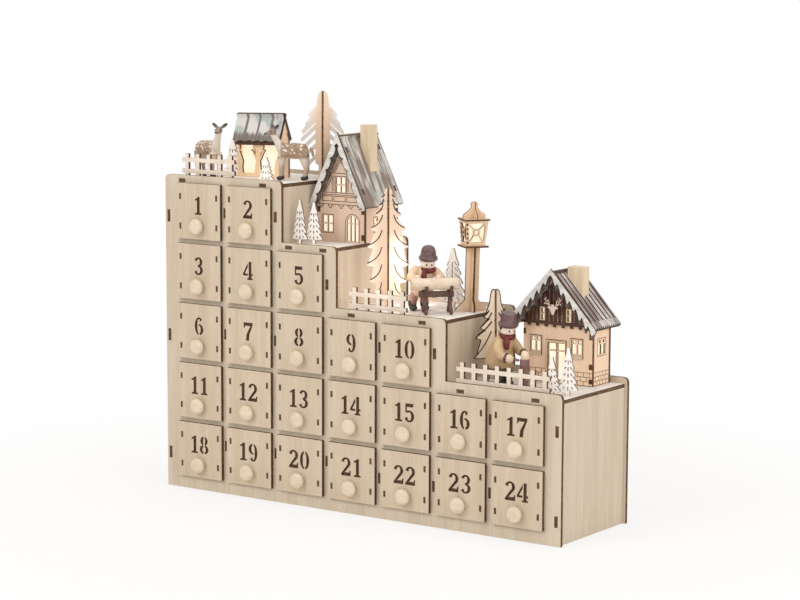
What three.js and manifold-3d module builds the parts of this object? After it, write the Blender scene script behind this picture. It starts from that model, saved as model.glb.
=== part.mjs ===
// A wooden advent calendar: a stepped plywood chest with numbered drawers, and a winter village on
// its terraces. Millimetres, +Z up. The origin is at the middle of the base, on the table.
import * as THREE from "three";
import { mergeVertices } from "three/addons/utils/BufferGeometryUtils.js";
import Module from "manifold-3d";

const wasm = await Module();
wasm.setup();

// Board and fits
const ply = 3; // thickness of the laser-cut plywood
const thinPly = 2; // thickness of the small cut-out trees
const slotGap = 0.1; // play all round a tab in its slot
const seatGap = 0.1; // gap between glued faces
const roofGap = 0.3; // gap between a roof and the walls that carry it
const slideGap = 0.3; // running gap under and over a drawer's tray
const windowGap = 0.5; // running gap at each side of a drawer's tray

// The chest
const columnPitch = 53.5;
const rowPitch = 51.5;
const leftMargin = 11.9; // panel's left edge to the first column line
const rightMargin = 12.1; // last column line to the panel's right edge
const baseMargin = 11.2; // table to the lowest drawer plates
const bodyDepth = 104; // front face of the front panel to the back of the back panel
const columnsInRow = [2, 3, 5, 7, 7]; // drawers in each row, from the top
const crownHeight = [6.5, 7, 8.3, 9.9]; // panel edge over the top drawer plates, on each terrace
const terraceRise = [3.5, 4.9, 5.2, 4.9]; // terrace's upper face over the same plates
const stepLip = [4.9, 7.5, 8.9]; // panel edge past a riser's outer face
const cornerRadius = 4.5;
const leftEndInset = 2; // end panels stand a little inside the panels' edges
const rightEndInset = 2.8;
const dividerTabHeight = 8.6;
// Tabs through the panels: each key is a row of drawers, each value the tab's height over that row's middle
const endTabs = {
  left: { height: 10.3, rows: { 0: -5.4, 2: -5.4, 4: -5.4 } },
  right: { height: 8.9, rows: { 3: 4.4, 4: -15.2 } },
};
const dividerTabs = {
  1: { 0: 0, 2: 0, 4: 6.6 },
  2: { 0: 0, 2: -0.7, 4: 6.6 },
  3: { 1: -0.8, 4: 6.3 },
  4: { 2: 3.5, 4: -1.4 },
  5: { 2: 3.4, 4: -1.5 },
  6: { 3: 7.4, 4: 0 },
};
const terraceTabWidth = 7;
const terraceTabInsets = [[13.2, 11.3], [8.8, 2.2], [19.5, 10.3], [19.6, 18]];
const leadSpace = 22; // between the rack and the back panel, for the battery box and the lights' leads
const rackDepth = bodyDepth - 2 * ply - leadSpace; // shelves and inner dividers stop here

// The drawers
const plateWidth = 47.5;
const plateHeight = 47.3;
const plateLap = 1.6; // plate over its window, above and below
const trayWidth = 42.6;
const trayHeight = 38;
const trayDepth = rackDepth - 4;
const knobRadius = 6.7;
const knobNeckRadius = 4.2;
const knobLength = 6.5;
const knobHeight = 11.1; // over the plate's lower edge
const numeralHeight = 15.3;
const numeralDrop = 11; // under the plate's upper edge
const numeralSpacing = { 1: 10.4, 2: 11.5 }; // from the first digit's middle to the second's, by first digit

// The battery box, behind the lowest drawers at the right
const batteryWidth = 70;
const batteryHeight = 38;
const batteryDepth = leadSpace - 2;
const batteryPlay = 0.5; // gap round the box in the back panel's cut-out

// The village: places are from the chest's left edge and from the front panel's front face
const tallHouse = { width: 48.6, depth: 49, wallHeight: 32.75, roofSlope: 2.05, eave: 29, front: bodyDepth - 54, overhang: 4.2 };
const cottage = { width: 64.6, depth: 29, wallHeight: 50.9, roofSlope: 1.09, eave: 39, front: bodyDepth - 33, overhang: 11 };
// Bargeboards stand a little above the roof boards that they are glued to
const tallBoards = { half: 29, slope: 2.13, rise: 2.3, width: 8, teeth: 6, depth: 3 };
const cottageBoards = { half: 41.7, slope: 1.09, rise: 2.9, width: 4.5, teeth: 7, depth: 3.5 };
const cottageInset = 12.7; // cottage's right wall inside the right end panel's outer face
const tallChimney = { width: 10.5, depth: 10, offset: 10.2, front: bodyDepth - 33, rise: 7.5 };
const cottageChimney = { width: 14, depth: 10, offset: 12, front: bodyDepth - 27.2, rise: 3.3 };
const hut = { left: 41, width: 46, depth: 12, front: 47.5, wallHeight: 31, eave: 9.3, roofRise: 23.5, roofWidth: 54, glue: 0.5 };
const lamp = { x: 268, y: 69.5, turn: 51, postHalf: 5.7, footHalf: 14.2, postHeight: 53.6, bodyHeight: 20.3, capHeight: 13.4, lean: 0.025 };
const trees = [
  { name: "tree_top_terrace", terrace: 0, x: 108.3, y: 80, turn: 36, height: 74, half: 18, tiers: 5 },
  { name: "tree_tall", terrace: 2, x: 205.4, y: 40, turn: 36, height: 100, half: 19, tiers: 6 },
  { name: "tree_low_terrace", terrace: 3, x: 298.5, y: 59, turn: 36, height: 73.5, half: 18, tiers: 4 },
];
const littleTrees = [
  { terrace: 0, x: 98, y: 15, turn: 25, height: 21, half: 7 },
  { terrace: 0, x: 26, y: 60, turn: 25, height: 31, half: 9 },
  { terrace: 1, x: 132, y: 18.5, turn: 25, height: 37, half: 7 },
  { terrace: 1, x: 143, y: 24, turn: 25, height: 35, half: 8 },
  { terrace: 2, x: 245, y: 77, turn: 25, height: 50, half: 13 },
  { terrace: 3, x: 376.5, y: 21, turn: 35, height: 30, half: 7 },
  { terrace: 3, x: 387, y: 28, turn: 35, height: 38, half: 8 },
];
const fences = [
  { name: "fence_top_terrace", terrace: 0, left: 18.7, pickets: 5, pitch: 11.8 },
  { name: "fence_middle_terrace", terrace: 2, left: 195.2, pickets: 5, pitch: 11.8 },
  { name: "fence_low_terrace", terrace: 3, left: 300.9, pickets: 8, pitch: 11 },
];
const fenceThickness = 2.5;
const picketWidth = 3.7;
const picketHeight = 21;
const railHeight = 3.6;
const railLevels = [4.3, 13.8]; // lower edges of the two rails
const railEnds = [3.5, 2.6]; // rails past the first and the last picket
const fenceSetback = 1.2; // fence behind the front panel
const deerPlaces = [
  { name: "fawn_left", x: 28.5, y: 24, turn: -13 },
  { name: "fawn_right", x: 104, y: 43, turn: 205 },
];
const logLength = 38.5;
const logRadius = 4.85;
const logHeight = 24.6; // axis over the terrace
const sawhorse = { x: 253.5, y: 37.5, turn: 46 };
const sawyer = { x: -3, y: 21.5 }; // stands behind the log, from the sawhorse's middle
const splitter = { x: 324.8, y: 34, turn: -8 };

// Colours
const paint = {
  ply: 0xddc9ae,
  inner: 0xd3bd9e,
  snow: 0xf0ece8,
  roof: 0x827a73,
  plastic: 0x2b2a29,
  fawn: 0x96785f,
  figure: 0xd7be96,
  frost: 0xe3d8c8,
};

// Everything below follows from the sizes above
const columns = Math.max(...columnsInRow);
const rows = columnsInRow.length;
const bodyWidth = leftMargin + columns * columnPitch + rightMargin;
const columnLine = (k) => leftMargin + k * columnPitch;
const plateBottom = (row) => baseMargin + (rows - 1 - row) * rowPitch;
const plateTop = (row) => plateBottom(row) + plateHeight;
const shelfTop = (row) => plateBottom(row) + plateLap;
const innerFront = ply + seatGap;
const innerBack = bodyDepth - ply - seatGap;
const rackBack = ply + rackDepth;
const halfLap = (ply + rackBack) / 2;
const knobReach = ply + seatGap + knobLength;
const frontY = knobReach - (knobReach + bodyDepth) / 2;

// The rows that a terrace covers: a step is where a row has more columns than the one above it
const terraceRows = columnsInRow.map((n, row) => row).filter((row) => row === 0 || columnsInRow[row] > columnsInRow[row - 1]);
const terraceTop = (t) => plateTop(terraceRows[t]) + terraceRise[t];
const panelTop = (t) => plateTop(terraceRows[t]) + crownHeight[t];
const riserColumns = terraceRows.slice(0, -1).map((row) => columnsInRow[row]);
const riserOuter = (t) => columnLine(riserColumns[t]) + ply / 2;
const terraceLeft = (t) => (t === 0 ? leftEndInset : riserOuter(t - 1) + seatGap);
const terraceRight = (t) => (t < riserColumns.length ? riserOuter(t) : bodyWidth - rightEndInset);

function solid(geometry) {
  geometry.deleteAttribute("normal");
  geometry.deleteAttribute("uv");
  const merged = mergeVertices(geometry, 1e-4);
  const vertProperties = merged.attributes.position.array;
  const triVerts = new Uint32Array(merged.index.array);
  return new wasm.Manifold(new wasm.Mesh({ numProp: 3, vertProperties, triVerts }));
}

function join(parts) {
  return parts.reduce((whole, part) => whole.add(part));
}

function mesh(name, shape, colour, roughness = 0.75) {
  const made = shape.getMesh();
  const geometry = new THREE.BufferGeometry();
  geometry.setAttribute("position", new THREE.BufferAttribute(made.vertProperties, 3));
  geometry.setIndex(new THREE.BufferAttribute(made.triVerts, 1));
  const flat = geometry.toNonIndexed();
  flat.computeVertexNormals();
  const material = new THREE.MeshStandardMaterial({ color: colour, roughness, metalness: 0 });
  const piece = new THREE.Mesh(flat, material);
  piece.name = name;
  return piece;
}

function block(x0, x1, y0, y1, z0, z1) {
  const geometry = new THREE.BoxGeometry(x1 - x0, y1 - y0, z1 - z0);
  return solid(geometry.translate((x0 + x1) / 2, (y0 + y1) / 2, (z0 + z1) / 2));
}

function outline(points) {
  return new THREE.Shape(points.map(([x, y]) => new THREE.Vector2(x, y)));
}

// An upright board cut to a shape drawn in X and Z, with its front face at y0
function uprightBoard(shape, y0, thickness, holes = []) {
  const geometry = new THREE.ExtrudeGeometry(shape, { depth: thickness, bevelEnabled: false, curveSegments: 3 });
  const board = solid(geometry.rotateX(Math.PI / 2).translate(0, y0 + thickness, 0));
  if (holes.length === 0) return board;
  const cutters = holes.map((points) => uprightBoard(outline(points), y0 - 1, thickness + 2));
  return board.subtract(join(cutters));
}

function rectangle(x0, x1, z0, z1) {
  return [[x0, z0], [x1, z0], [x1, z1], [x0, z1]];
}

// Turned pieces: a profile of [radius, height] pairs about the Z axis
function turned(profile, sides) {
  return solid(new THREE.LatheGeometry(profile.map(([r, h]) => new THREE.Vector2(r, h)), sides).rotateX(Math.PI / 2));
}

function ball(x, y, z, rx, ry, rz, sides = 8) {
  const geometry = new THREE.SphereGeometry(1, sides, Math.round(sides * 0.7));
  return solid(geometry.scale(rx, ry, rz).translate(x, y, z));
}

// A round bar, tapered if its end radii differ
function bar(from, to, r0, r1 = r0, sides = 8) {
  const a = new THREE.Vector3(...from);
  const along = new THREE.Vector3(...to).sub(a);
  const geometry = new THREE.CylinderGeometry(r1, r0, along.length(), sides);
  geometry.translate(0, along.length() / 2, 0);
  geometry.applyQuaternion(new THREE.Quaternion().setFromUnitVectors(new THREE.Vector3(0, 1, 0), along.normalize()));
  return solid(geometry.translate(a.x, a.y, a.z));
}

// Cuts a figure flat where it stands, at z = 0
function stand(shape) {
  const reach = 100;
  return shape.subtract(block(-reach, reach, -reach, reach, -reach, 0));
}

// Front and back panels share one stepped outline with rounded outer corners
function steppedOutline() {
  const shape = new THREE.Shape();
  shape.moveTo(0, 0);
  shape.lineTo(bodyWidth, 0);
  for (let t = terraceRows.length - 1; t >= 0; t--) {
    const right = t < riserColumns.length ? riserOuter(t) + stepLip[t] : bodyWidth;
    const left = t === 0 ? 0 : riserOuter(t - 1) + stepLip[t - 1];
    const top = panelTop(t);
    shape.lineTo(right, top - cornerRadius);
    shape.quadraticCurveTo(right, top, right - cornerRadius, top);
    if (t > 0) {
      shape.lineTo(left, top);
    } else {
      shape.lineTo(cornerRadius, top);
      shape.quadraticCurveTo(0, top, 0, top - cornerRadius);
    }
  }
  return shape;
}

// Tabs: where each board that meets the panels has one, as x and z ranges of the tab itself
const tabs = [];
function addTabs(owner, x0, height, placesByRow) {
  for (const [row, offset] of Object.entries(placesByRow)) {
    const middle = plateBottom(row) + plateHeight / 2 + offset;
    tabs.push({ owner, x0, x1: x0 + ply, z0: middle - height / 2, z1: middle + height / 2 });
  }
}
const leftEndX = leftEndInset;
const rightEndX = bodyWidth - rightEndInset - ply;
addTabs("end" + leftEndX, leftEndX, endTabs.left.height, endTabs.left.rows);
addTabs("end" + rightEndX, rightEndX, endTabs.right.height, endTabs.right.rows);
const firstRowOfLine = (line) => columnsInRow.findIndex((n) => n >= line);
for (let line = 1; line < columns; line++) {
  addTabs("divider" + line, columnLine(line) - ply / 2, dividerTabHeight, dividerTabs[line] ?? {});
}
terraceRows.forEach((row, t) => {
  const z1 = terraceTop(t);
  const left = terraceLeft(t) + terraceTabInsets[t][0];
  const right = terraceRight(t) - terraceTabInsets[t][1];
  for (const x0 of [left, right - terraceTabWidth]) {
    tabs.push({ owner: "terrace" + t, x0, x1: x0 + terraceTabWidth, z0: z1 - ply, z1 });
  }
});

const slotHoles = tabs.map((tab) => rectangle(tab.x0 - slotGap, tab.x1 + slotGap, tab.z0 - slotGap, tab.z1 + slotGap));

// A tab passes through the panel and ends flush with its outer face
function tabBlocks(owner, atFront = true, atBack = true) {
  const blocks = [];
  for (const tab of tabs.filter((one) => one.owner === owner)) {
    if (atFront) blocks.push(block(tab.x0, tab.x1, 0, innerFront + 1, tab.z0, tab.z1));
    if (atBack) blocks.push(block(tab.x0, tab.x1, innerBack - 1, bodyDepth, tab.z0, tab.z1));
  }
  return blocks;
}

// The drawers' places, numbered along the rows from the top
const drawerPlaces = [];
columnsInRow.forEach((count, row) => {
  for (let column = 0; column < count; column++) {
    drawerPlaces.push({ x: columnLine(column + 0.5), z: plateBottom(row), number: drawerPlaces.length + 1 });
  }
});

const chest = new THREE.Group();
const drawers = new THREE.Group();
const village = new THREE.Group();

function addPanels() {
  const windows = drawerPlaces.map(({ x, z }) => {
    const half = trayWidth / 2 + windowGap;
    return rectangle(x - half, x + half, z + plateLap, z + plateHeight - plateLap);
  });
  const front = uprightBoard(steppedOutline(), 0, ply, [...windows, ...slotHoles]);
  chest.add(mesh("front_panel", front, paint.ply));
  const rackTabs = tabs.filter((tab) => tab.owner.startsWith("divider") && !reachesBack(tab.owner));
  const backSlots = slotHoles.filter((hole, k) => !rackTabs.includes(tabs[k]));
  const { x0, x1, z0, z1 } = batteryPlace;
  const cutOut = rectangle(x0 - batteryPlay, x1 + batteryPlay, z0 - batteryPlay, z1 + batteryPlay);
  const back = uprightBoard(steppedOutline(), bodyDepth - ply, ply, [...backSlots, cutOut]);
  chest.add(mesh("back_panel", back, paint.inner));
}

// The battery box stands on the base board, between the last riser and the right end panel
const batteryMiddle = (columnLine(columns - 2) + rightEndX) / 2;
const batteryPlace = {
  x0: batteryMiddle - batteryWidth / 2,
  x1: batteryMiddle + batteryWidth / 2,
  z0: shelfTop(rows - 1) + batteryPlay + slideGap,
  z1: shelfTop(rows - 1) + batteryPlay + slideGap + batteryHeight,
};

// Risers run the chest's whole depth, and the other dividers stop at the back of the rack
function reachesBack(owner) {
  return riserColumns.some((line) => owner === "divider" + line);
}

function addEnds() {
  const ends = [
    ["left_end_panel", leftEndX, terraceTop(0)],
    ["right_end_panel", rightEndX, terraceTop(terraceRows.length - 1)],
  ];
  for (const [name, x0, top] of ends) {
    const board = block(x0, x0 + ply, innerFront, innerBack, 0, top - ply - seatGap);
    chest.add(mesh(name, join([board, ...tabBlocks("end" + x0)]), paint.ply));
  }
}

function addDividers() {
  for (let line = 1; line < columns; line++) {
    const owner = "divider" + line;
    const x0 = columnLine(line) - ply / 2;
    const toBack = reachesBack(owner);
    const terrace = terraceRows.filter((row) => columnsInRow[row] < line).length;
    const top = terraceTop(terrace) - ply - seatGap;
    const z0 = shelfTop(rows - 1) + seatGap;
    let board = block(x0, x0 + ply, innerFront, toBack ? innerBack : rackBack, z0, top);
    board = join([board, ...tabBlocks(owner, true, toBack)]);
    for (let row = firstRowOfLine(line); row < rows - 1; row++) {
      const z1 = shelfTop(row);
      const reach = columnsInRow[row] > line ? halfLap + slotGap : 0;
      if (reach > 0) {
        const lap = block(x0 - 1, x0 + ply + 1, 0, reach, z1 - ply - slotGap, z1 + slotGap);
        board = board.subtract(lap);
      }
    }
    chest.add(mesh(toBack ? "riser_" + line : "divider_" + line, board, paint.ply));
  }
}

// Each shelf carries one row. Behind the half-lap line it is notched for the dividers that it crosses
function addShelves() {
  for (let row = 0; row < rows; row++) {
    const lowest = row === rows - 1;
    const right = lowest || columnsInRow[row] === columns ? rightEndX : columnLine(columnsInRow[row]) - ply / 2;
    const z1 = shelfTop(row);
    const depth = lowest ? innerBack : rackBack;
    let shelf = block(leftEndX + ply + seatGap, right - seatGap, innerFront, depth, z1 - ply, z1);
    for (let line = 1; line < columnsInRow[row] && !lowest; line++) {
      const x0 = columnLine(line) - ply / 2;
      shelf = shelf.subtract(block(x0 - slotGap, x0 + ply + slotGap, halfLap - slotGap, rackBack + 1, z1 - ply - 1, z1 + 1));
    }
    chest.add(mesh(lowest ? "base_board" : "shelf_" + (row + 1), shelf, paint.inner));
  }
}

// A flat little tree, drawn from its foot up
function littleTreeOutline(height, half) {
  const tiers = 3;
  const side = [[half * 0.9, 0]];
  for (let k = 0; k < tiers; k++) {
    const z = height * (0.12 + 0.27 * k);
    side.push([half * (1 - 0.22 * k), z]);
    side.push([half * (0.62 - 0.16 * k), z + height * 0.15]);
  }
  const mirrored = side.map(([x, z]) => [-x, z]).reverse();
  return outline([...side, [0, height], ...mirrored]);
}

// The white terrace boards, with the little cut-out trees that are glued to them
function addTerraces() {
  terraceRows.forEach((row, t) => {
    const top = terraceTop(t);
    let board = block(terraceLeft(t), terraceRight(t), innerFront, innerBack, top - ply, top);
    board = join([board, ...tabBlocks("terrace" + t)]);
    for (const tree of littleTrees.filter((one) => one.terrace === t)) {
      const cut = uprightBoard(littleTreeOutline(tree.height, tree.half), -thinPly / 2, thinPly);
      board = board.add(cut.rotate([0, 0, tree.turn]).translate([tree.x, tree.y, top - 0.4]));
    }
    chest.add(mesh("terrace_" + (t + 1), board, paint.snow, 0.85));
  });
}

// Stencil digits, each as one or more closed cuts in a box about 10 wide, drawn from the baseline up.
// A band is part of an upright ring that is thick at its sides and thin above and below.
function band(z, rx, rz, thick, thin, from, to) {
  const steps = Math.ceil(Math.abs(to - from) / 34);
  const angles = Array.from({ length: steps + 1 }, (_, k) => ((from + ((to - from) * k) / steps) * Math.PI) / 180);
  const outer = angles.map((a) => [rx * Math.cos(a), z + rz * Math.sin(a)]);
  const inner = angles.map((a) => [(rx - thick) * Math.cos(a), z + (rz - thin) * Math.sin(a)]);
  return [...outer, ...inner.reverse()];
}
const h = numeralHeight;
const six = [band(h / 2, 4.7, h / 2, 2.9, 1.5, 52, 262), band(4.7, 4.7, 4.7, 2.9, 1.5, -82, 108)];
const digitCuts = {
  0: [band(h / 2, 4.7, h / 2, 2.9, 1.5, 98, 262), band(h / 2, 4.7, h / 2, 2.9, 1.5, -82, 82)],
  1: [[[-3.4, 0], [3.4, 0], [3.4, 1.6], [1.6, 1.6], [1.6, h], [0.2, h], [-3.4, 13.2], [-3.4, 11.6], [-1.4, 12], [-1.4, 1.6], [-3.4, 1.6]]],
  2: [
    band(10.9, 4.6, 4.4, 2.9, 1.5, 165, -42),
    [[-4.8, 0], [4.7, 0], [4.9, 4.7], [3.8, 4.7], [3.3, 2.9], [-1.2, 2.9], [3.6, 8.8], [1.9, 10.2], [-4.8, 1.6]],
  ],
  3: [band(11.35, 4.2, 3.95, 2.7, 1.5, 155, -76), band(4.1, 4.7, 4.1, 2.9, 1.5, 76, -158)],
  4: [
    [[-4.9, 3.7], [0.2, 3.7], [0.2, 5.2], [-3.1, 5.2], [0.2, 11.3], [0.2, 14.3], [-4.9, 5.2]],
    [[-0.2, 0], [4.9, 0], [4.9, 1.2], [3.7, 1.2], [3.7, 3.7], [5, 3.7], [5, 5.2], [3.7, 5.2], [3.7, h], [1.1, h], [1.1, 1.2], [-0.2, 1.2]],
  ],
  5: [[[-3.7, 7.4], [-2.3, 8.2], [-2.3, 12.6], [3.9, 12.6], [4.1, h], [-3.7, h]], band(4.85, 4.7, 4.85, 2.9, 1.5, 138, -158)],
  6: six,
  7: [[[-4.6, h], [-4.6, 11.2], [-3.7, 11.2], [-3.3, 12.7], [2.5, 12.7], [-2.2, 0], [0.7, 0], [4.7, 14], [4.7, h]]],
  8: [
    band(11.5, 3.9, 3.8, 2.6, 1.4, 98, 240),
    band(11.5, 3.9, 3.8, 2.6, 1.4, -60, 82),
    band(3.9, 4.7, 3.9, 2.9, 1.4, 115, 262),
    band(3.9, 4.7, 3.9, 2.9, 1.4, -82, 65),
  ],
  9: six.map((cut) => cut.map(([x, z]) => [-x, h - z])),
};

// A drawer: the numbered front plate, the tray behind it and the turned knob
function drawer(number) {
  const digits = String(number).split("");
  const step = numeralSpacing[digits[0]] ?? 0;
  const drawn = digits.flatMap((digit, k) => digitCuts[digit].map((cut) => cut.map(([x, z]) => [x + k * step, z])));
  const reach = drawn.flat().map(([x]) => x);
  const middle = (Math.min(...reach) + Math.max(...reach)) / 2;
  const baseline = plateHeight - numeralDrop - numeralHeight;
  const cuts = drawn.map((cut) => cut.map(([x, z]) => [x - middle, baseline + z]));
  const half = plateWidth / 2;
  const plate = uprightBoard(outline(rectangle(-half, half, 0, plateHeight)), -ply - seatGap, ply, cuts);
  const side = trayWidth / 2;
  const z0 = plateLap + slideGap;
  const outer = block(-side, side, -seatGap - 0.5, trayDepth, z0, z0 + trayHeight);
  const inner = block(-side + ply, side - ply, -1.5, trayDepth - ply, z0 + ply, z0 + trayHeight + 1);
  const knob = turned(
    [
      [0, -1],
      [knobNeckRadius, -1],
      [knobNeckRadius, knobLength * 0.22],
      [knobRadius, knobLength * 0.4],
      [knobRadius, knobLength * 0.66],
      [knobRadius * 0.75, knobLength * 0.91],
      [0, knobLength],
    ],
    11,
  ).rotate([90, 0, 0]);
  const seatedKnob = knob.translate([0, -ply - seatGap, knobHeight]);
  return join([plate, outer.subtract(inner), seatedKnob]);
}

function addDrawers() {
  for (const { x, z, number } of drawerPlaces) {
    const piece = mesh("drawer_" + String(number).padStart(2, "0"), drawer(number), paint.ply, 0.7);
    piece.position.set(x, 0, z);
    drawers.add(piece);
  }
}

function addBatteryBox() {
  const { x0, x1, z0, z1 } = batteryPlace;
  const back = bodyDepth;
  const caseBody = block(x0, x1, back - batteryDepth, back, z0, z1);
  const lidSeam = block(x0 - 1, x1 - 14, back - 0.6, back + 1, z0 + 3, z0 + 3.6);
  const thumbGrip = block(x1 - 11, x1 - 4, back - 1, back + 1, (z0 + z1) / 2 - 5, (z0 + z1) / 2 + 5);
  chest.add(mesh("battery_box", caseBody.subtract(lidSeam).subtract(thumbGrip), paint.plastic, 0.5));
}

// A gabled wall, drawn about its middle from its foot up. The roof's underside is roofGap above it.
function gable(width, wallHeight, slope) {
  const half = width / 2;
  return outline([[-half, 0], [half, 0], [half, wallHeight], [0, wallHeight + half * slope], [-half, wallHeight]]);
}

// Two roof boards meeting at the ridge, drawn as a chevron in X and Z and run from y0 to y1
function chevron(half, slope, underApex, y0, y1) {
  const rise = ply * Math.sqrt(1 + slope * slope);
  const foot = underApex + rise - half * slope;
  const inner = half - ply * slope / Math.sqrt(1 + slope * slope);
  const under = underApex - inner * slope;
  const points = [[-half, foot], [-inner, under], [0, underApex], [inner, under], [half, foot], [0, underApex + rise]];
  return uprightBoard(outline(points), y0, y1 - y0);
}

// A chimney block that stands on the right-hand slope, its foot cut by the roof
function chimney(spec, x, apex, slope) {
  const left = x + spec.offset - spec.width / 2;
  const foot = apex - (spec.offset + spec.width / 2) * slope - 1;
  return block(left, left + spec.width, spec.front, spec.front + spec.depth, foot, apex + spec.rise);
}

function houseWalls(spec, x, z, frontHoles, sideHoles) {
  const back = spec.front + spec.depth;
  const outlineShape = () => gable(spec.width, spec.wallHeight, spec.roofSlope);
  const front = uprightBoard(outlineShape(), spec.front, ply, frontHoles).translate([x, 0, z]);
  const rear = uprightBoard(outlineShape(), back - ply, ply).translate([x, 0, z]);
  const half = spec.width / 2;
  const eaveHeight = z + spec.wallHeight - 0.6;
  const left = block(x - half, x - half + ply, spec.front + 1, back - 1, z, eaveHeight);
  let right = block(x + half - ply, x + half, spec.front + 1, back - 1, z, eaveHeight);
  for (const [y0, y1, z0, z1] of sideHoles) {
    right = right.subtract(block(x + half - ply - 1, x + half + 1, y0, y1, z + z0, z + z1));
  }
  return join([front, rear, left, right]);
}

// The snow-covered bargeboard: a chevron whose lower edge runs in scallops or icicles
function bargeboard({ half, slope, rise, width, teeth, depth }, ridge, y0) {
  const apex = ridge + rise;
  const end = apex - half * slope - 3;
  const points = [[-half, apex - half * slope], [0, apex], [half, apex - half * slope]];
  const lower = [];
  for (let k = 0; k <= teeth * 2; k++) {
    const x = half - (half * k) / (teeth * 2);
    const hang = width + (k % 2 ? depth : 0);
    lower.push([Math.max(x - (k === 0 ? 1.5 : 0), 0), Math.max(apex - x * slope - hang, end)]);
  }
  const mirrored = lower.slice(0, -1).map(([x, z]) => [-x, z]).reverse();
  return uprightBoard(outline([...points, ...lower, ...mirrored].reverse()), y0, ply * 0.7);
}

function addTallHouse() {
  const x = riserOuter(0) + slotGap + tallHouse.eave;
  const z = terraceTop(1) + seatGap;
  const door = [[7, 1], [18, 1], [18, 16.5], [12.5, 21.5], [7, 16.5]];
  const groundWindow = rectangle(-18.5, -8.5, 8, 21.5);
  const loftWindow = rectangle(-4.8, 4.6, 41.4, 54);
  const sideWindow = [tallHouse.front + 16, tallHouse.front + 27, 9, 20];
  const walls = houseWalls(tallHouse, x, z, [door, groundWindow, loftWindow], [sideWindow]);
  village.add(mesh("tall_house_walls", walls, paint.ply));

  const slope = tallHouse.roofSlope;
  const underApex = z + tallHouse.wallHeight + (tallHouse.width / 2) * slope + roofGap * 2;
  const apex = underApex + ply * Math.sqrt(1 + slope * slope);
  const front = tallHouse.front - tallHouse.overhang;
  const boards = chevron(tallHouse.eave, slope, underApex, front, innerBack).translate([x, 0, 0]);
  const snow = bargeboard(tallBoards, apex, front - ply * 0.6).translate([x, 0, 0]);
  const stack = chimney(tallChimney, x, apex, slope);
  village.add(mesh("tall_house_roof", join([boards, snow, stack]), paint.roof, 0.8));
}

function addCottage() {
  const x = bodyWidth - rightEndInset - cottageInset - cottage.width / 2;
  const z = terraceTop(3) + seatGap;
  const door = rectangle(-8.5, 8.5, 1, 32);
  const windows = [-20, 18].map((middle) => rectangle(middle - 4.8, middle + 4.8, 23.5, 36.2));
  const lofts = [-12, 12].map((middle) => rectangle(middle - 1.8, middle + 1.8, 50.7, 59));
  const sideWindow = [cottage.front + 10, cottage.front + 19, 23.5, 36.2];
  const walls = houseWalls(cottage, x, z, [door, ...windows, ...lofts], [sideWindow]);
  village.add(mesh("cottage_walls", walls, paint.ply));

  const slope = cottage.roofSlope;
  const underApex = z + cottage.wallHeight + (cottage.width / 2) * slope + roofGap * 2;
  const apex = underApex + ply * Math.sqrt(1 + slope * slope);
  const front = cottage.front - cottage.overhang;
  const boards = chevron(cottage.eave, slope, underApex, front, bodyDepth).translate([x, 0, 0]);
  const snow = bargeboard(cottageBoards, apex, front - ply * 0.6).translate([x, 0, 0]);
  const stack = chimney(cottageChimney, x, apex, slope);
  village.add(mesh("cottage_roof", join([boards, snow, stack]), paint.roof, 0.8));
}

// The little feeding hut: a pierced front, a back and two gables, glued into a steep roof along X
function addHut() {
  const z = terraceTop(0) + seatGap;
  const slope = hut.roofRise / hut.eave;
  const ridgeY = hut.front + hut.depth / 2;
  const underApex = z + hut.wallHeight + hut.roofRise - ply * Math.sqrt(1 + slope * slope);
  const wallTop = underApex - (hut.depth / 2) * slope - z + hut.glue;
  const panes = [9, 23, 37].map((middle) => rectangle(middle - 5, middle + 5, 5, 25));
  const wallShape = () => outline(rectangle(0, hut.width, 0, wallTop));
  const front = uprightBoard(wallShape(), hut.front, thinPly, panes).translate([hut.left, 0, z]);
  const rear = uprightBoard(wallShape(), hut.front + hut.depth - thinPly, thinPly).translate([hut.left, 0, z]);
  const gables = [thinPly, hut.width].map((x) =>
    uprightBoard(gable(hut.depth, wallTop, slope), 0, thinPly)
      .rotate([0, 0, 90])
      .translate([hut.left + x, ridgeY, z]),
  );
  const roof = chevron(hut.eave, slope, underApex, -hut.roofWidth / 2, hut.roofWidth / 2)
    .rotate([0, 0, 90])
    .translate([hut.left + hut.width / 2, ridgeY, 0]);
  village.add(mesh("feeding_hut", join([front, rear, ...gables, roof]), paint.roof, 0.8));
}

// A conifer sheet, drawn about the trunk. Branches droop, and each tier is narrower than the last.
function coniferOutline(height, half, tiers) {
  const footHalf = height * 0.05;
  const side = [[footHalf, 0], [footHalf * 0.9, height * 0.1]];
  for (let k = 0; k < tiers; k++) {
    const reach = half * (1 - (0.78 * k) / tiers);
    const z = height * (0.1 + (0.76 * k) / tiers);
    side.push([reach, z + height * 0.015]);
    side.push([reach * 0.93, z + height * 0.05]);
    side.push([footHalf * 0.9 + reach * 0.22, z + height * 0.125]);
  }
  side.push([footHalf * 0.7, height * 0.97]);
  const mirrored = side.map(([x, z]) => [-x, z]).reverse();
  return outline([...side, [0, height], ...mirrored]);
}

function addTrees() {
  for (const { name, terrace, x, y, turn, height, half, tiers } of trees) {
    const sheet = () => uprightBoard(coniferOutline(height, half, tiers), -ply / 2, ply);
    const piece = mesh(name, sheet().add(sheet().rotate([0, 0, 90])), paint.frost);
    piece.position.set(x, y, terraceTop(terrace) + seatGap);
    piece.rotation.z = THREE.MathUtils.degToRad(turn);
    village.add(piece);
  }
}

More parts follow.
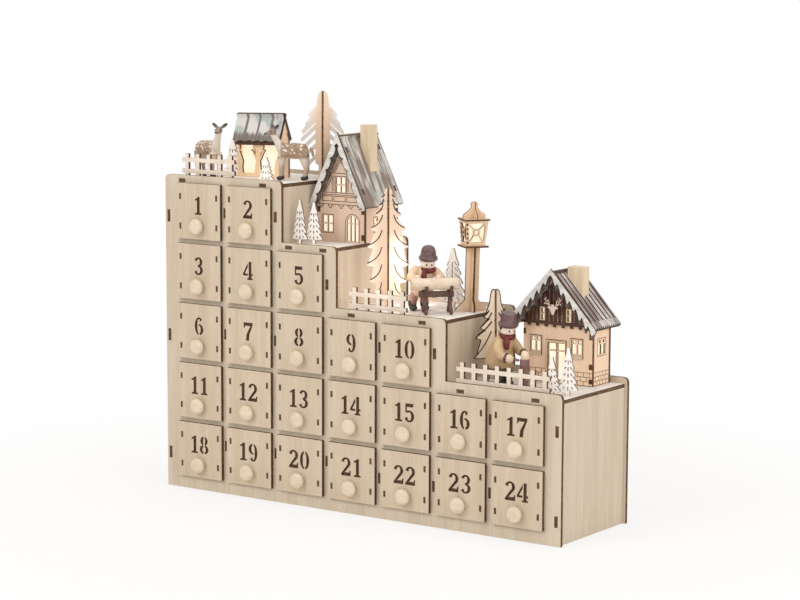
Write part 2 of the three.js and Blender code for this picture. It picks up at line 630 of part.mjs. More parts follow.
function addFences() {
  for (const { name, terrace, left, pickets, pitch } of fences) {
    const length = (pickets - 1) * pitch + picketWidth;
    const boards = railLevels.map((z) => block(-railEnds[0], length + railEnds[1], 0, fenceThickness, z, z + railHeight));
    for (let k = 0; k < pickets; k++) {
      const x0 = k * pitch;
      boards.push(block(x0, x0 + picketWidth, 0, fenceThickness, 0, picketHeight));
    }
    const piece = mesh(name, join(boards), paint.frost);
    piece.position.set(left, ply + fenceSetback, terraceTop(terrace) + seatGap);
    village.add(piece);
  }
}

// A street lamp of crossed sheets, with a pierced lantern between its tray and its roof plate
function addLamp() {
  const { postHalf, footHalf, postHeight, bodyHeight, capHeight } = lamp;
  const postSide = [[footHalf, 0], [footHalf, 1.5], [footHalf * 0.85, 4], [postHalf + 2.5, 7], [postHalf, 9.5], [postHalf, postHeight]];
  const post = (foot) => {
    const side = postSide.map(([x, z]) => [Math.min(x, foot), z]);
    return uprightBoard(outline([...side, ...side.map(([x, z]) => [-x, z]).reverse()]), -ply / 2, ply);
  };
  const tray = block(-10, 10, -10, 10, postHeight - 0.5, postHeight + 1.5);
  const bodyFoot = postHeight + 1;
  const frustum = (r0, r1, z0, z1) =>
    solid(new THREE.CylinderGeometry(r1 * Math.SQRT2, r0 * Math.SQRT2, z1 - z0, 4).rotateX(Math.PI / 2))
      .rotate([0, 0, 45])
      .translate([0, 0, (z0 + z1) / 2]);
  const outer = frustum(7.7, 9.5, bodyFoot, bodyFoot + bodyHeight + 1);
  const pane = block(-4.8, 4.8, -12, 12, bodyFoot + 3.5, bodyFoot + bodyHeight - 2);
  const inner = frustum(5.2, 7, bodyFoot + ply, bodyFoot + bodyHeight - 1);
  const lantern = outer.subtract(join([inner, pane, pane.rotate([0, 0, 90])]));
  const roofFoot = bodyFoot + bodyHeight;
  const roofPlate = block(-10.5, 10.5, -10.5, 10.5, roofFoot, roofFoot + thinPly);
  const capZ = roofFoot + thinPly - 0.5;
  const bell = [[9.5, 0], [9.3, 2.5], [6, 5.5], [3.2, 8], [2.6, 9.5], [3.1, 11.5], [2.6, capHeight - 0.7], [1, capHeight]];
  const cap = () => uprightBoard(outline([...bell, ...bell.map(([x, z]) => [-x, z]).reverse()]), -thinPly / 2, thinPly);
  const capSheets = cap().add(cap().rotate([0, 0, 90])).translate([0, 0, capZ]);
  const upright = join([post(footHalf), post(9.5).rotate([0, 0, 90]), tray, lantern, roofPlate, capSheets]);
  const turn = THREE.MathUtils.degToRad(lamp.turn);
  const [leanX, leanY] = [lamp.lean * Math.cos(turn), -lamp.lean * Math.sin(turn)];
  const shape = upright.transform([1, 0, 0, 0, 0, 1, 0, 0, leanX, leanY, 1, 0, 0, 0, 0, 1]);
  const piece = mesh("street_lamp", shape, paint.ply);
  piece.position.set(lamp.x, lamp.y, terraceTop(2) + seatGap);
  piece.rotation.z = turn;
  village.add(piece);
}

// A fawn, standing along X with its head towards +X
function addFawns() {
  for (const { name, x, y, turn } of deerPlaces) {
    const legs = [];
    for (const [legX, bend] of [[9.5, 0.6], [-10.5, -1.2]]) {
      for (const legY of [-3.2, 3.2]) {
        legs.push(bar([legX, legY, 0], [legX * 0.9 + bend, legY * 0.8, 22], 1.9, 3, 6));
      }
    }
    const body = ball(-1.5, 0, 23.5, 15, 6.2, 8.2, 10);
    const neck = bar([9, 0, 25], [14, 0, 38.5], 4.6, 2.9);
    const head = ball(15.5, 0, 40, 4.6, 3.4, 3.6);
    const muzzle = bar([16.5, 0, 39.6], [21.5, 0, 38.3], 2.4, 1.5, 6);
    const ears = [-1, 1].map((s) => bar([13.5, s * 2, 42], [11.5, s * 5.6, 46.3], 1.7, 0.8, 5));
    const tail = ball(-16.3, 0, 26, 2.2, 1.6, 3, 6);
    const shape = stand(join([body, neck, head, muzzle, tail, ...ears, ...legs]));
    const piece = mesh(name, shape, paint.fawn, 0.6);
    piece.position.set(x, y, terraceTop(0) + seatGap);
    piece.rotation.z = THREE.MathUtils.degToRad(turn);
    village.add(piece);
  }
}

// The turned head, scarf and brimmed hat that both figures share, seated on the neck at (x, y, z)
function headAndHat(x, y, z) {
  const head = ball(x, y, z + 5.2, 5.6, 5.6, 6, 10);
  const scarf = turned([[0, 0], [6.3, 0], [6.8, 2], [5.4, 4], [0, 4]], 10).translate([x, y, z - 1.8]);
  const hatProfile = [[0, 0], [8, 0], [8.2, 1.6], [6.6, 2.6], [6.4, 6.5], [4.6, 9.6], [0, 10.6]];
  const hat = turned(hatProfile, 10).translate([x, y, z + 7]);
  return [head, scarf, hat];
}

// The sawyer leans over a log that lies on a sawhorse
function addSawyer() {
  const end = logLength / 2;
  const log = bar([-end, 0, logHeight], [end, 0, logHeight], logRadius, logRadius, 10);
  const frames = [-8, 12.8].flatMap((x) => [
    bar([x, -8, 0], [x, 5, logHeight + 3.5], 1.7, 1.7, 6),
    bar([x, 8, 0], [x, -5, logHeight + 3.5], 1.7, 1.7, 6),
  ]);
  const beam = block(-8, 12.8, -1.6, 1.6, logHeight - 11.5, logHeight - 6.5);
  const { x, y } = sawyer;
  const legs = [-5, 5].flatMap((dx) => [
    bar([x - 2 + dx, y + 2, 0.2], [x - 1 + dx * 0.7, y, 20], 3.2, 3.6, 8),
    ball(x - 2 + dx, y, 2.6, 3.4, 5, 2.5, 8),
  ]);
  const coat = bar([x, y, 15], [x + 1, y - 4, 38], 9.6, 6.4, 10);
  const arms = [-1, 1].flatMap((s) => [
    bar([x + 1 + s * 6.5, y - 3, 34], [x + 2 + s * 12, y - 9, 27], 3.6, 3.3, 8),
    bar([x + 2 + s * 12, y - 9, 27], [x + 2 + s * 8, 5.5, 28], 3.2, 2.6, 8),
  ]);
  const top = headAndHat(x + 1.8, y - 5.5, 37.5);
  const shape = stand(join([log, ...frames, beam, coat, ...legs, ...arms, ...top]));
  const piece = mesh("sawyer_at_log", shape, paint.figure, 0.6);
  piece.position.set(sawhorse.x, sawhorse.y, terraceTop(2) + seatGap);
  piece.rotation.z = THREE.MathUtils.degToRad(sawhorse.turn);
  village.add(piece);
}

// The second figure bends over a chopping block, facing +X
function addSplitter() {
  const legs = [-4, 4].flatMap((dy) => [
    bar([-3, dy, 0.2], [-5, dy, 18], 3.3, 3.8, 8),
    ball(-1, dy, 2.6, 5.2, 3.3, 2.5, 8),
  ]);
  const coat = bar([-5.5, 0, 14], [0.5, 0, 43], 10.4, 6.4, 10);
  const arms = [-1, 1].flatMap((s) => [
    bar([0, s * 7, 38], [7.5, s * 8, 28], 3.7, 3.5, 8),
    bar([7.5, s * 8, 28], [18, s * 1.6, 27], 3.3, 2.6, 8),
  ]);
  const stump = turned([[0, 0], [4.6, 0], [3.9, 3], [3.7, 26], [0, 26]], 8).translate([20, 0, 0]);
  const handle = bar([12, 0, 27.5], [22, 0, 26], 1.6, 1.6, 6);
  const top = headAndHat(2.4, 0, 43.5);
  const shape = stand(join([coat, stump, handle, ...legs, ...arms, ...top]));
  const piece = mesh("splitter_at_block", shape, paint.figure, 0.6);
  piece.position.set(splitter.x, splitter.y, terraceTop(3) + seatGap);
  piece.rotation.z = THREE.MathUtils.degToRad(splitter.turn);
  village.add(piece);
}

addPanels();
addEnds();
addDividers();
addShelves();
addTerraces();
addDrawers();
addBatteryBox();
addHut();
addTallHouse();
addCottage();
addLamp();
addTrees();
addFences();
addFawns();
addSawyer();
addSplitter();

const calendar = new THREE.Group();
calendar.add(chest, drawers, village);
calendar.position.set(-bodyWidth / 2, frontY, 0);

export default calendar;
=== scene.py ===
# A wooden advent calendar with 24 drawers and a lit winter village on its terraces.
# The chest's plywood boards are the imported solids. Everything smaller is made here in their place.
import math
import bmesh
import bpy
from mathutils import Matrix, Vector


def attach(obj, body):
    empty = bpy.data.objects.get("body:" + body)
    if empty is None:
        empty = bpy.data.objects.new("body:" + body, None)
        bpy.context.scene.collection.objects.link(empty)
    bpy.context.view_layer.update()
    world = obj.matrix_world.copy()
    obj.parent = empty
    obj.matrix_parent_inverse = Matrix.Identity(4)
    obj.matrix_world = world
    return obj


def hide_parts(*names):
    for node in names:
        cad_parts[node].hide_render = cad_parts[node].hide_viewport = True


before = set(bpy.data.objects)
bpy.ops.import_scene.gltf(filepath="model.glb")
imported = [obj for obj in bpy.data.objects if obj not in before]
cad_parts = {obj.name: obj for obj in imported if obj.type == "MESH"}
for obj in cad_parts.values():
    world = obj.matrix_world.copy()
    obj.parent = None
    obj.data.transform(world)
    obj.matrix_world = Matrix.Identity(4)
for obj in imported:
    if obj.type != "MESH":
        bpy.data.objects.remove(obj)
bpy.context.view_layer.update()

# Camera and studio
# The photograph was taken from the right and a little above, on a white ground with soft light.
# The calendar stands on a pale table that keeps its shadow.
camera_data = bpy.data.cameras.new("photo_camera")
camera_data.sensor_width = 36.0
camera_data.lens = 108.22
camera_data.clip_end = 20.0
camera = bpy.data.objects.new("photo_camera", camera_data)
bpy.context.scene.collection.objects.link(camera)
bpy.context.scene.camera = camera
bpy.context.scene.view_settings.view_transform = "Standard"


def moved_by(x, y, z):
    return Matrix.Translation((x, y, z))


def turned_by(degrees, axis="Z"):
    return Matrix.Rotation(math.radians(degrees), 4, axis)


view_turn, view_drop, view_roll = 35.0, 7.727, 0.207  # degrees
camera_stand = moved_by(1.14345, -1.6141, 0.4413)
tip_to_view = turned_by(90.0 - view_drop, "X")
camera.matrix_world = camera_stand @ turned_by(view_turn) @ tip_to_view @ turned_by(view_roll)


class Sum:
    """A socket of a node tree, on which sums are written as in plain Python."""

    def __init__(self, recipe, socket):
        self.recipe = recipe
        self.socket = socket

    def with_terms(self, operation, *terms):
        return self.recipe.node("ShaderNodeMath", {"operation": operation}, dict(enumerate(terms)))

    def other(self, out):
        """Another output of the node that this socket is on."""
        return Sum(self.recipe, self.socket.node.outputs[out])

    def __add__(self, other):
        return self.with_terms("ADD", self, other)

    def __sub__(self, other):
        return self.with_terms("SUBTRACT", self, other)

    def __rsub__(self, other):
        return self.with_terms("SUBTRACT", other, self)

    def __mul__(self, other):
        return self.with_terms("MULTIPLY", self, other)

    def __gt__(self, other):
        return self.with_terms("GREATER_THAN", self, other)

    def __lt__(self, other):
        return self.with_terms("LESS_THAN", self, other)

    __radd__ = __add__
    __rmul__ = __mul__


class Recipe:
    """The node tree of one finish, or of one shape that repeats."""

    def __init__(self, tree):
        self.tree = tree

    def node(self, kind, settings=None, sockets=None, out=0):
        made = self.tree.nodes.new(kind)
        for name, value in (settings or {}).items():
            if name != "stops":
                setattr(made, name, value)
                continue
            ramp = made.color_ramp
            while len(ramp.elements) < len(value):
                ramp.elements.new(0.5)
            for element, (position, colour) in zip(ramp.elements, value):
                element.position = position
                element.color = colour
        for key, value in (sockets or {}).items():
            if isinstance(value, Sum):
                self.tree.links.new(value.socket, made.inputs[key])
            else:
                made.inputs[key].default_value = value
        return Sum(self, made.outputs[out])

    def vector_sum(self, operation, *terms, out=0):
        return self.node("ShaderNodeVectorMath", {"operation": operation}, dict(enumerate(terms)), out)

    def mixed(self, share, first, second):
        settings = {"data_type": "RGBA", "clamp_factor": True}
        return self.node("ShaderNodeMix", settings, {0: share, 6: first, 7: second}, out=2)

    def noise(self, vector, scale=1.0, detail=2.0, roughness=0.5):
        sockets = {"Vector": vector, "Scale": scale, "Detail": detail, "Roughness": roughness}
        return self.node("ShaderNodeTexNoise", None, sockets)

    def stepped(self, value, low, high):
        """0 below low, 1 above high and smooth between."""
        settings = {"interpolation_type": "SMOOTHSTEP"}
        return self.node("ShaderNodeMapRange", settings, {"Value": value, "From Min": low, "From Max": high})

    def place(self, scale=(1.0, 1.0, 1.0)):
        """Where a point of the piece is, in metres, stretched by scale."""
        point = self.node("ShaderNodeTexCoord", out=3)
        return self.node("ShaderNodeMapping", None, {"Vector": point, "Scale": scale})


def colour(red, green, blue):
    """A colour as it is seen, 0 to 255, for a shader's socket."""
    seen = [value / 255 for value in (red, green, blue)]
    linear = [value / 12.92 if value <= 0.04045 else ((value + 0.055) / 1.055) ** 2.4 for value in seen]
    return (*linear, 1.0)


def new_finish(name):
    """A material, its recipe and the shader that its sockets feed."""
    material = bpy.data.materials.new(name)
    material.use_nodes = True
    shader = material.node_tree.nodes["Principled BSDF"]
    return material, Recipe(material.node_tree), shader


def feed(recipe, shader, sockets):
    for name, value in sockets.items():
        if isinstance(value, Sum):
            recipe.tree.links.new(value.socket, shader.inputs[name])
        else:
            shader.inputs[name].default_value = value


half_table = 6.0
table_level = -0.0002
corner_signs = ((-1, -1), (1, -1), (1, 1), (-1, 1))
table_mesh = bpy.data.meshes.new("table")
table_corners = [(x * half_table, y * half_table, table_level) for x, y in corner_signs]
table_mesh.from_pydata(table_corners, [], [(0, 1, 2, 3)])
table = bpy.data.objects.new("table", table_mesh)
bpy.context.scene.collection.objects.link(table)
table_finish, table_recipe, table_shader = new_finish("table")
table_sockets = {"Base Color": colour(246, 244, 241), "Roughness": 0.9, "Specular IOR Level": 0.1}
feed(table_recipe, table_shader, table_sockets)
table_mesh.materials.append(table_finish)
# the camera sees the table fade to white, and keeps its shadow
from_middle = table_recipe.vector_sum("LENGTH", table_recipe.place(), out=1)
seen_share = 0.72 + 0.28 * table_recipe.stepped(from_middle, 0.18, 0.62)
seen_share = seen_share * table_recipe.node("ShaderNodeLightPath", out="Is Camera Ray")
plain_white = table_recipe.node("ShaderNodeEmission", None, {"Color": (1.0, 1.0, 1.0, 1.0), "Strength": 1.0})
lit = Sum(table_recipe, table_shader.outputs[0])
table_look = table_recipe.node("ShaderNodeMixShader", None, {0: seen_share, 1: lit, 2: plain_white})
table_recipe.tree.links.new(table_look.socket, table_recipe.tree.nodes["Material Output"].inputs["Surface"])

world = bpy.data.worlds.new("studio")
bpy.context.scene.world = world
world.use_nodes = True
air = Recipe(world.node_tree)
for old in list(world.node_tree.nodes):
    world.node_tree.nodes.remove(old)
ray = air.node("ShaderNodeLightPath", out="Is Camera Ray")
seen_directly = ray + ray.other("Is Glossy Ray") + ray.other("Is Transmission Ray")
fill = air.node("ShaderNodeBackground", None, {"Color": (1.0, 0.97, 0.94, 1.0), "Strength": 0.62})
white = air.node("ShaderNodeBackground", None, {"Color": (1.0, 1.0, 1.0, 1.0), "Strength": 1.0})
shown = air.node("ShaderNodeMixShader", None, {0: seen_directly, 1: fill, 2: white})
world_output = world.node_tree.nodes.new("ShaderNodeOutputWorld")
world.node_tree.links.new(shown.socket, world_output.inputs["Surface"])


def lamp(name, place, aim, size, power, tint):
    """A soft lamp at a place, turned to what it aims at."""
    data = bpy.data.lights.new(name, "AREA")
    data.shape = "RECTANGLE"
    data.size, data.size_y = size
    data.energy = power
    data.color = tint
    light = bpy.data.objects.new(name, data)
    bpy.context.scene.collection.objects.link(light)
    direction = Vector(aim) - Vector(place)
    aimed = direction.to_track_quat("-Z", "Y").to_matrix().to_4x4()
    light.matrix_world = Matrix.Translation(place) @ aimed


lamp("key_light", (-0.9, -2.2, 1.9), (0.0, 0.0, 0.15), (1.6, 1.2), 26.0, (1.0, 0.96, 0.91))
lamp("right_light", (2.4, -0.7, 1.2), (0.0, 0.0, 0.15), (1.4, 1.4), 19.0, (1.0, 0.95, 0.90))
lamp("riser_glow", (0.02, 0.014, 0.195), (-0.055, 0.014, 0.185), (0.05, 0.06), 0.017, (1.0, 0.90, 0.84))
lamp("bulb_glow", (0.03, -0.038, 0.2), (-0.022, -0.016, 0.185), (0.03, 0.03), 0.006, (1.0, 0.89, 0.83))
lamp("top_light", (0.0, 0.3, 2.4), (0.0, 0.0, 0.1), (1.8, 1.2), 12.0, (1.0, 0.98, 0.96))

# Chest boards
# The stepped front and back panels, the two end panels, the dividers, the shelves and the base board are
# 3 mm birch plywood cut by laser, which leaves pale faces and dark brown edges. Tabs and glue hold them.
mm = 0.001
body_width = 398.5
front_offset = 47.2  # overall depth's middle behind the front panel's face
burnt_dark = colour(58, 37, 22)
burnt_light = colour(122, 90, 62)
birch_light = colour(216, 203, 184)
birch_dark = colour(203, 188, 167)


def veneer(recipe, along="Z", light=birch_light, dark=birch_dark):
    """Birch veneer whose grain runs along one axis: broad pale figure, fine streaks and short pores."""
    def stretch(across, length):
        return tuple(1000 / (length if axis == along else across) for axis in "XYZ")
    figure = recipe.noise(recipe.place(stretch(11, 150)), detail=3.0, roughness=0.6)
    streak = recipe.noise(recipe.place(stretch(0.9, 34)), detail=2.0)
    pore = recipe.stepped(recipe.noise(recipe.place(stretch(0.35, 4)), detail=1.0), 0.66, 0.76)
    share = recipe.stepped(figure * 0.65 + streak * 0.35, 0.36, 0.66)
    face = recipe.mixed(share, light, dark)
    face = recipe.mixed(pore * 0.22, face, colour(168, 140, 106))
    return face, streak, pore


def edge_burn(recipe):
    """The laser's dark brown edge, with fine upright scorch lines."""
    scorch = recipe.noise(recipe.place((700, 700, 700)), detail=3.0)
    return recipe.mixed(recipe.stepped(scorch, 0.3, 0.75), burnt_dark, burnt_light)


def edge_by_thickness(recipe, thickness):
    """1 on the cut edges of a board whose thickness runs along the axis given, and 0 on its faces."""
    facing = recipe.node("ShaderNodeTexCoord", out=1)
    across = recipe.vector_sum("DOT_PRODUCT", facing, thickness, out=1)
    return across.with_terms("ABSOLUTE", across) < 0.5


def edge_by_mark(recipe):
    """1 on the edges that were marked as cut when the piece was made."""
    return recipe.node("ShaderNodeAttribute", {"attribute_name": "cut"}, out=2)


def relief(recipe, height, strength, distance=0.0002):
    return recipe.node("ShaderNodeBump", None, {"Height": height, "Strength": strength, "Distance": distance})


def plywood(name, edge, along="Z", light=birch_light, dark=birch_dark, lit=0.0):
    material, recipe, shader = new_finish(name)
    face, streak, pore = veneer(recipe, along, light, dark)
    cut = edge(recipe)
    look = recipe.mixed(cut, face, edge_burn(recipe))
    rough = 0.56 + streak * 0.12 + cut * 0.15
    height = streak * 0.5 - pore * 0.6
    feed(recipe, shader, {"Base Color": look, "Roughness": rough, "Normal": relief(recipe, height, 0.25)})
    shader.inputs["Specular IOR Level"].default_value = 0.35
    # lit is a painted glow: the board gives off light in its own colours, standing in for the bulbs' light
    # falling on it
    if lit:
        feed(recipe, shader, {"Emission Color": look, "Emission Strength": lit})
    return material


def dress(material, *boards):
    """Gives packed boards their finish."""
    for board in boards:
        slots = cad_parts[board].material_slots
        if not slots:
            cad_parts[board].data.materials.append(material)
        for one in slots:
            one.material = material


facing_front = plywood("birch_facing_front", lambda r: edge_by_thickness(r, (0, 1, 0)))
facing_side = plywood("birch_facing_side", lambda r: edge_by_thickness(r, (1, 0, 0)))
lying_flat = plywood("birch_lying_flat", lambda r: edge_by_thickness(r, (0, 0, 1)), along="X")
dress(facing_front, "front_panel", "back_panel")
dress(facing_side, "left_end_panel", "right_end_panel", "riser_2", "riser_3", "riser_5")
dress(facing_side, "divider_1", "divider_4", "divider_6")
dress(lying_flat, "shelf_1", "shelf_2", "shelf_3", "shelf_4", "base_board")


def from_chest(x, y, z, turn=0.0):
    """A place in the chest's own measures: millimetres from its left edge, its front face and the table."""
    shift = moved_by((x - body_width / 2) * mm, (y - front_offset) * mm, z * mm)
    return shift @ turned_by(turn) @ Matrix.Scale(mm, 4)


def settle(piece, body="chest", replaces=()):
    """Puts a finished piece on its body."""
    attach(piece, body)
    if replaces:
        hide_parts(*replaces)
    return piece


class Workpiece:
    """Gathers cut boards, blocks and turned parts, drawn in millimetres, into one mesh in metres."""

    def __init__(self):
        self.points = []
        self.faces = []
        self.cut = []

    def add(self, points, faces, cut, place):
        start = len(self.points)
        self.points += [place @ Vector(point) for point in points]
        self.faces += [[start + k for k in face] for face in faces]
        self.cut += cut

    def board(self, rings, thickness, place):
        """A board drawn in X and Z, front face at y = 0. The first ring is its outline, the rest are holes."""
        drawing = bpy.data.curves.new("drawing", "CURVE")
        drawing.dimensions = "2D"
        drawing.fill_mode = "BOTH"
        drawing.extrude = thickness / 2
        for ring in rings:
            spline = drawing.splines.new("POLY")
            spline.points.add(len(ring) - 1)
            for point, (x, z) in zip(spline.points, ring):
                point.co = (x, z, 0.0, 1.0)
            spline.use_cyclic_u = True
        holder = bpy.data.objects.new("drawing", drawing)
        mesh = bpy.data.meshes.new_from_object(holder)
        work = bmesh.new()
        work.from_mesh(mesh)
        bmesh.ops.remove_doubles(work, verts=work.verts, dist=0.0005)
        bmesh.ops.recalc_face_normals(work, faces=work.faces)
        work.normal_update()
        points = [(v.co.x, thickness / 2 - v.co.z, v.co.y) for v in work.verts]
        work.verts.index_update()
        faces = [[v.index for v in face.verts] for face in work.faces]
        cut = [0.0 if abs(face.normal.z) > 0.5 else 1.0 for face in work.faces]
        work.free()
        bpy.data.meshes.remove(mesh)
        bpy.data.objects.remove(holder)
        bpy.data.curves.remove(drawing)
        self.add(points, faces, cut, place)

    def block(self, low, high, place, across=None):
        """A box. Across is the number of the axis that its plywood's thickness runs along, if it is plywood."""
        xs, ys, zs = zip(low, high)
        corners = [(x, y, z) for x in xs for y in ys for z in zs]
        faces = [(0, 1, 3, 2), (4, 6, 7, 5), (0, 4, 5, 1), (2, 3, 7, 6), (0, 2, 6, 4), (1, 5, 7, 3)]
        axis_of_face = (0, 0, 1, 1, 2, 2)
        cut = [0.0 if across is None or axis == across else 1.0 for axis in axis_of_face]
        self.add(corners, faces, cut, place)

    def skinned(self, points, sides, place):
        """A round part over rings of points, closed at its first and its last point."""
        faces = [[0, 1 + (k + 1) % sides, 1 + k] for k in range(sides)]
        last = len(points) - 1 - sides
        for low in range(1, last, sides):
            for k in range(sides):
                after = (k + 1) % sides
                faces.append([low + k, low + after, low + sides + after, low + sides + k])
        faces += [[last + k, last + (k + 1) % sides, len(points) - 1] for k in range(sides)]
        self.add(points, faces, [0.0] * len(faces), place)

    def turned(self, profile, sides, place):
        """A round part turned about Z, from [radius, height] pairs that start and end on the axis."""
        points = [(0.0, 0.0, profile[0][1])]
        for radius, height in profile[1:-1]:
            for k in range(sides):
                angle = 2 * math.pi * k / sides
                points.append((radius * math.cos(angle), radius * math.sin(angle), height))
        points.append((0.0, 0.0, profile[-1][1]))
        self.skinned(points, sides, place)

    def ball(self, middle, radii, place, rings=12, sides=20):
        """An egg shape about a middle, with its own radius along each axis."""
        steps = [math.pi * k / rings for k in range(rings + 1)]
        profile = [(math.sin(a), -math.cos(a)) for a in steps]
        swell = Matrix.Translation(middle) @ Matrix.Diagonal((*radii, 1.0))
        self.turned(profile, sides, place @ swell)

    def limb(self, centres, radii, place, sides=14):
        """A soft round bar through a row of centres, with its own radius at each and domed ends."""
        dome, shoulder, shoulder_radius = 0.55, 0.8, 0.62  # shares of an end's radius, its dome and its radius
        centres = [Vector(c) for c in centres]
        start = centres[0] - (centres[1] - centres[0]).normalized() * radii[0] * dome
        end = centres[-1] + (centres[-1] - centres[-2]).normalized() * radii[-1] * dome
        line = [centres[0].lerp(start, shoulder), *centres, centres[-1].lerp(end, shoulder)]
        width = [radii[0] * shoulder_radius, *radii, radii[-1] * shoulder_radius]
        points = [tuple(start)]
        side = None
        for k, (centre, radius) in enumerate(zip(line, width)):
            ahead = line[min(k + 1, len(line) - 1)] - line[max(k - 1, 0)]
            ahead.normalize()
            if side is None:
                side = ahead.orthogonal().normalized()
            side = (side - ahead * side.dot(ahead)).normalized()
            other = ahead.cross(side)
            for j in range(sides):
                angle = 2 * math.pi * j / sides
                rim = side * radius * math.cos(angle)
                points.append(tuple(centre + rim + other * radius * math.sin(angle)))
        points.append(tuple(end))
        self.skinned(points, sides, place)

    def made(self, name, finish, body="chest", slot=None, replaces=(), smooth=None, subdivide=0):
        """The finished piece, on its body. Smooth is the angle in degrees under which edges are rounded."""
        mesh = bpy.data.meshes.new(name)
        mesh.from_pydata([tuple(point) for point in self.points], [], self.faces)
        mark = mesh.attributes.new("cut", "FLOAT", "FACE")
        mark.data.foreach_set("value", self.cut)
        mesh.materials.append(finish)
        mesh.update()
        piece = bpy.data.objects.new(name, mesh)
        bpy.context.scene.collection.objects.link(piece)
        if smooth is not None:
            mesh.shade_smooth()
            mesh.set_sharp_from_angle(angle=math.radians(smooth))
        if subdivide:
            rounding = piece.modifiers.new("rounding", "SUBSURF")
            rounding.levels = subdivide
            rounding.render_levels = subdivide
        return settle(piece, body, replaces)


# Terrace boards
# Four boards close the tops of the steps. They are painted matt white above, and their tabs show as dark
# brown ends in the front panel's slots. The little trees on them are made further on.
ply = 3.0
inner_front = 3.1
inner_back = 100.9
body_depth = 104.0
tab_length = 7.0
terrace_tops = (268.0, 217.9, 166.7, 114.9)
terrace_ends = ((2.0, 120.4), (120.5, 173.9), (174.0, 280.9), (281.0, 395.7))
terrace_tabs = ((13.2, 11.3), (8.8, 2.2), (19.5, 10.3), (19.6, 18.0))


def white_paint(name, edge, light=colour(244, 240, 235), dark=colour(229, 221, 211), lit=0.0):
    """Thin matt white paint over plywood, with the brush's streaks and the laser's dark edge."""
    material, recipe, shader = new_finish(name)
    stroke = recipe.noise(recipe.place((55, 420, 420)), detail=3.0, roughness=0.6)
    cloud = recipe.noise(recipe.place((28, 28, 28)), detail=2.0)
    paint = recipe.mixed(recipe.stepped(stroke * 0.6 + cloud * 0.4, 0.35, 0.68), light, dark)
    cut = edge(recipe)
    look = recipe.mixed(cut, paint, edge_burn(recipe))
    rough = 0.62 + stroke * 0.15
    feed(recipe, shader, {"Base Color": look, "Roughness": rough, "Normal": relief(recipe, stroke, 0.2)})
    # lit is a painted glow: the paint gives off light in its own colour, standing in for the bulbs' light
    # falling on it
    if lit:
        feed(recipe, shader, {"Emission Color": paint, "Emission Strength": lit})
    return material


terrace_finish = white_paint("white_painted_terrace", edge_by_mark)
chest_place = from_chest(0, 0, 0)
for number, (top, (left, right), insets) in enumerate(zip(terrace_tops, terrace_ends, terrace_tabs), 1):
    terrace = Workpiece()
    starts = (left + insets[0], right - insets[1] - tab_length)
    # the outline seen from above, with a tab at each slot, laid down flat
    front_edge = [(left, inner_front)]
    back_edge = [(right, inner_back)]
    for start in starts:
        end = start + tab_length
        front_edge += [(start, inner_front), (start, 0.0), (end, 0.0), (end, inner_front)]
    for start in reversed(starts):
        end = start + tab_length
        back_edge += [(end, inner_back), (end, body_depth), (start, body_depth), (start, inner_back)]
    ring = [*front_edge, (right, inner_front), *back_edge, (left, inner_back)]
    lay_flat = moved_by(0, 0, top) @ turned_by(-90, "X")
    terrace.board([ring], ply, chest_place @ lay_flat)
    name = "terrace_board_%d" % number
    terrace.made(name, terrace_finish, slot="white_painted_plywood", replaces=["terrace_%d" % number])

# Drawers
# Each of the 24 drawers has a numbered front plate with the numeral cut right through it, a plywood tray
# whose side tabs show in the plate's four slots, and a turned beech knob glued on under the numeral.
plate_width = 47.5
plate_height = 47.3
plate_lap = 1.6
plate_front = -3.1
numeral_height = 15.3
numeral_foot = plate_height - 11.0 - numeral_height
numeral_spacing = {"1": 10.4, "2": 11.5}  # from the first digit's middle to the second's
tray_width = 42.6
tray_height = 38.0
tray_depth = 72.0
slide_gap = 0.3
tab_places = ((-19.8, 36.0), (19.8, 36.0), (-19.8, 10.7), (19.8, 10.7))
tab_half_width = 0.85
tab_half_height = 2.3
tab_play = 0.25
drop_radius = 3.1  # of a numeral's round terminals
drop_span = 30  # degrees of the arc that a terminal takes up
arc_step = 8  # degrees


def arc(middle, reach, start, end, drop=None):
    """The outer and the inner line of part of an upright ring, thick at its sides and thin above and below.

    A drop is the round terminal at the ring's start (0) or end (1)."""
    steps = max(6, round(abs(end - start) / arc_step))
    outer = []
    inner = []
    for k in range(steps + 1):
        along = k / steps
        angle = math.radians(start + (end - start) * along)
        thickness = thin_stroke + (thick_stroke - thin_stroke) * abs(math.cos(angle)) ** 1.4
        if drop is not None:
            near = abs(along - drop) * abs(end - start) / drop_span
            if near < 1:
                thickness = max(thickness, drop_radius * math.sqrt(max(0.0, 1 - (near * 1.6 - 0.7) ** 2)))
        across, up = math.cos(angle), math.sin(angle)
        outer.append((reach[0] * across, middle + reach[1] * up))
        inner.append(((reach[0] - thickness) * across, middle + (reach[1] - thickness) * up))
    return outer, inner


def curl(middle, reach, start, end, drop=None, tail=()):
    """A cut along an arc, with a tail of points between its outer and its inner line."""
    outer, inner = arc(middle, reach, start, end, drop)
    return [*outer, *tail, *inner[::-1]]


tall = numeral_height
half_tall = tall / 2
thick_stroke = 3.0
thin_stroke = 1.45
two_tail = [(-1.2, 2.9), (3.3, 2.9), (3.8, 4.7), (4.9, 4.7), (4.7, 0), (-4.8, 0), (-4.8, 1.5)]
three_top = arc(11.25, (4.3, 4.05), 160, -58, 0)
three_foot = arc(4.2, (4.8, 4.2), 58, -160, 1)
three_waist = [(-0.7, 7.2), (-0.7, 8.3)]
five_flag = [(-3.8, 7.8), (-3.8, tall), (4.2, tall), (3.5, 12.4), (-2.4, 12.4), (-2.4, 8.9)]
eight_top = arc(11.4, (4.0, 3.9), 100, 252)
eight_foot = arc(3.95, (4.8, 3.95), 108, 260)
eight_left = [*eight_top[0], *eight_foot[0], *eight_foot[1][::-1], *eight_top[1][::-1]]
six_cuts = [curl(half_tall, (4.7, half_tall), 50, 260, 0), curl(4.7, (4.7, 4.7), -80, 96)]
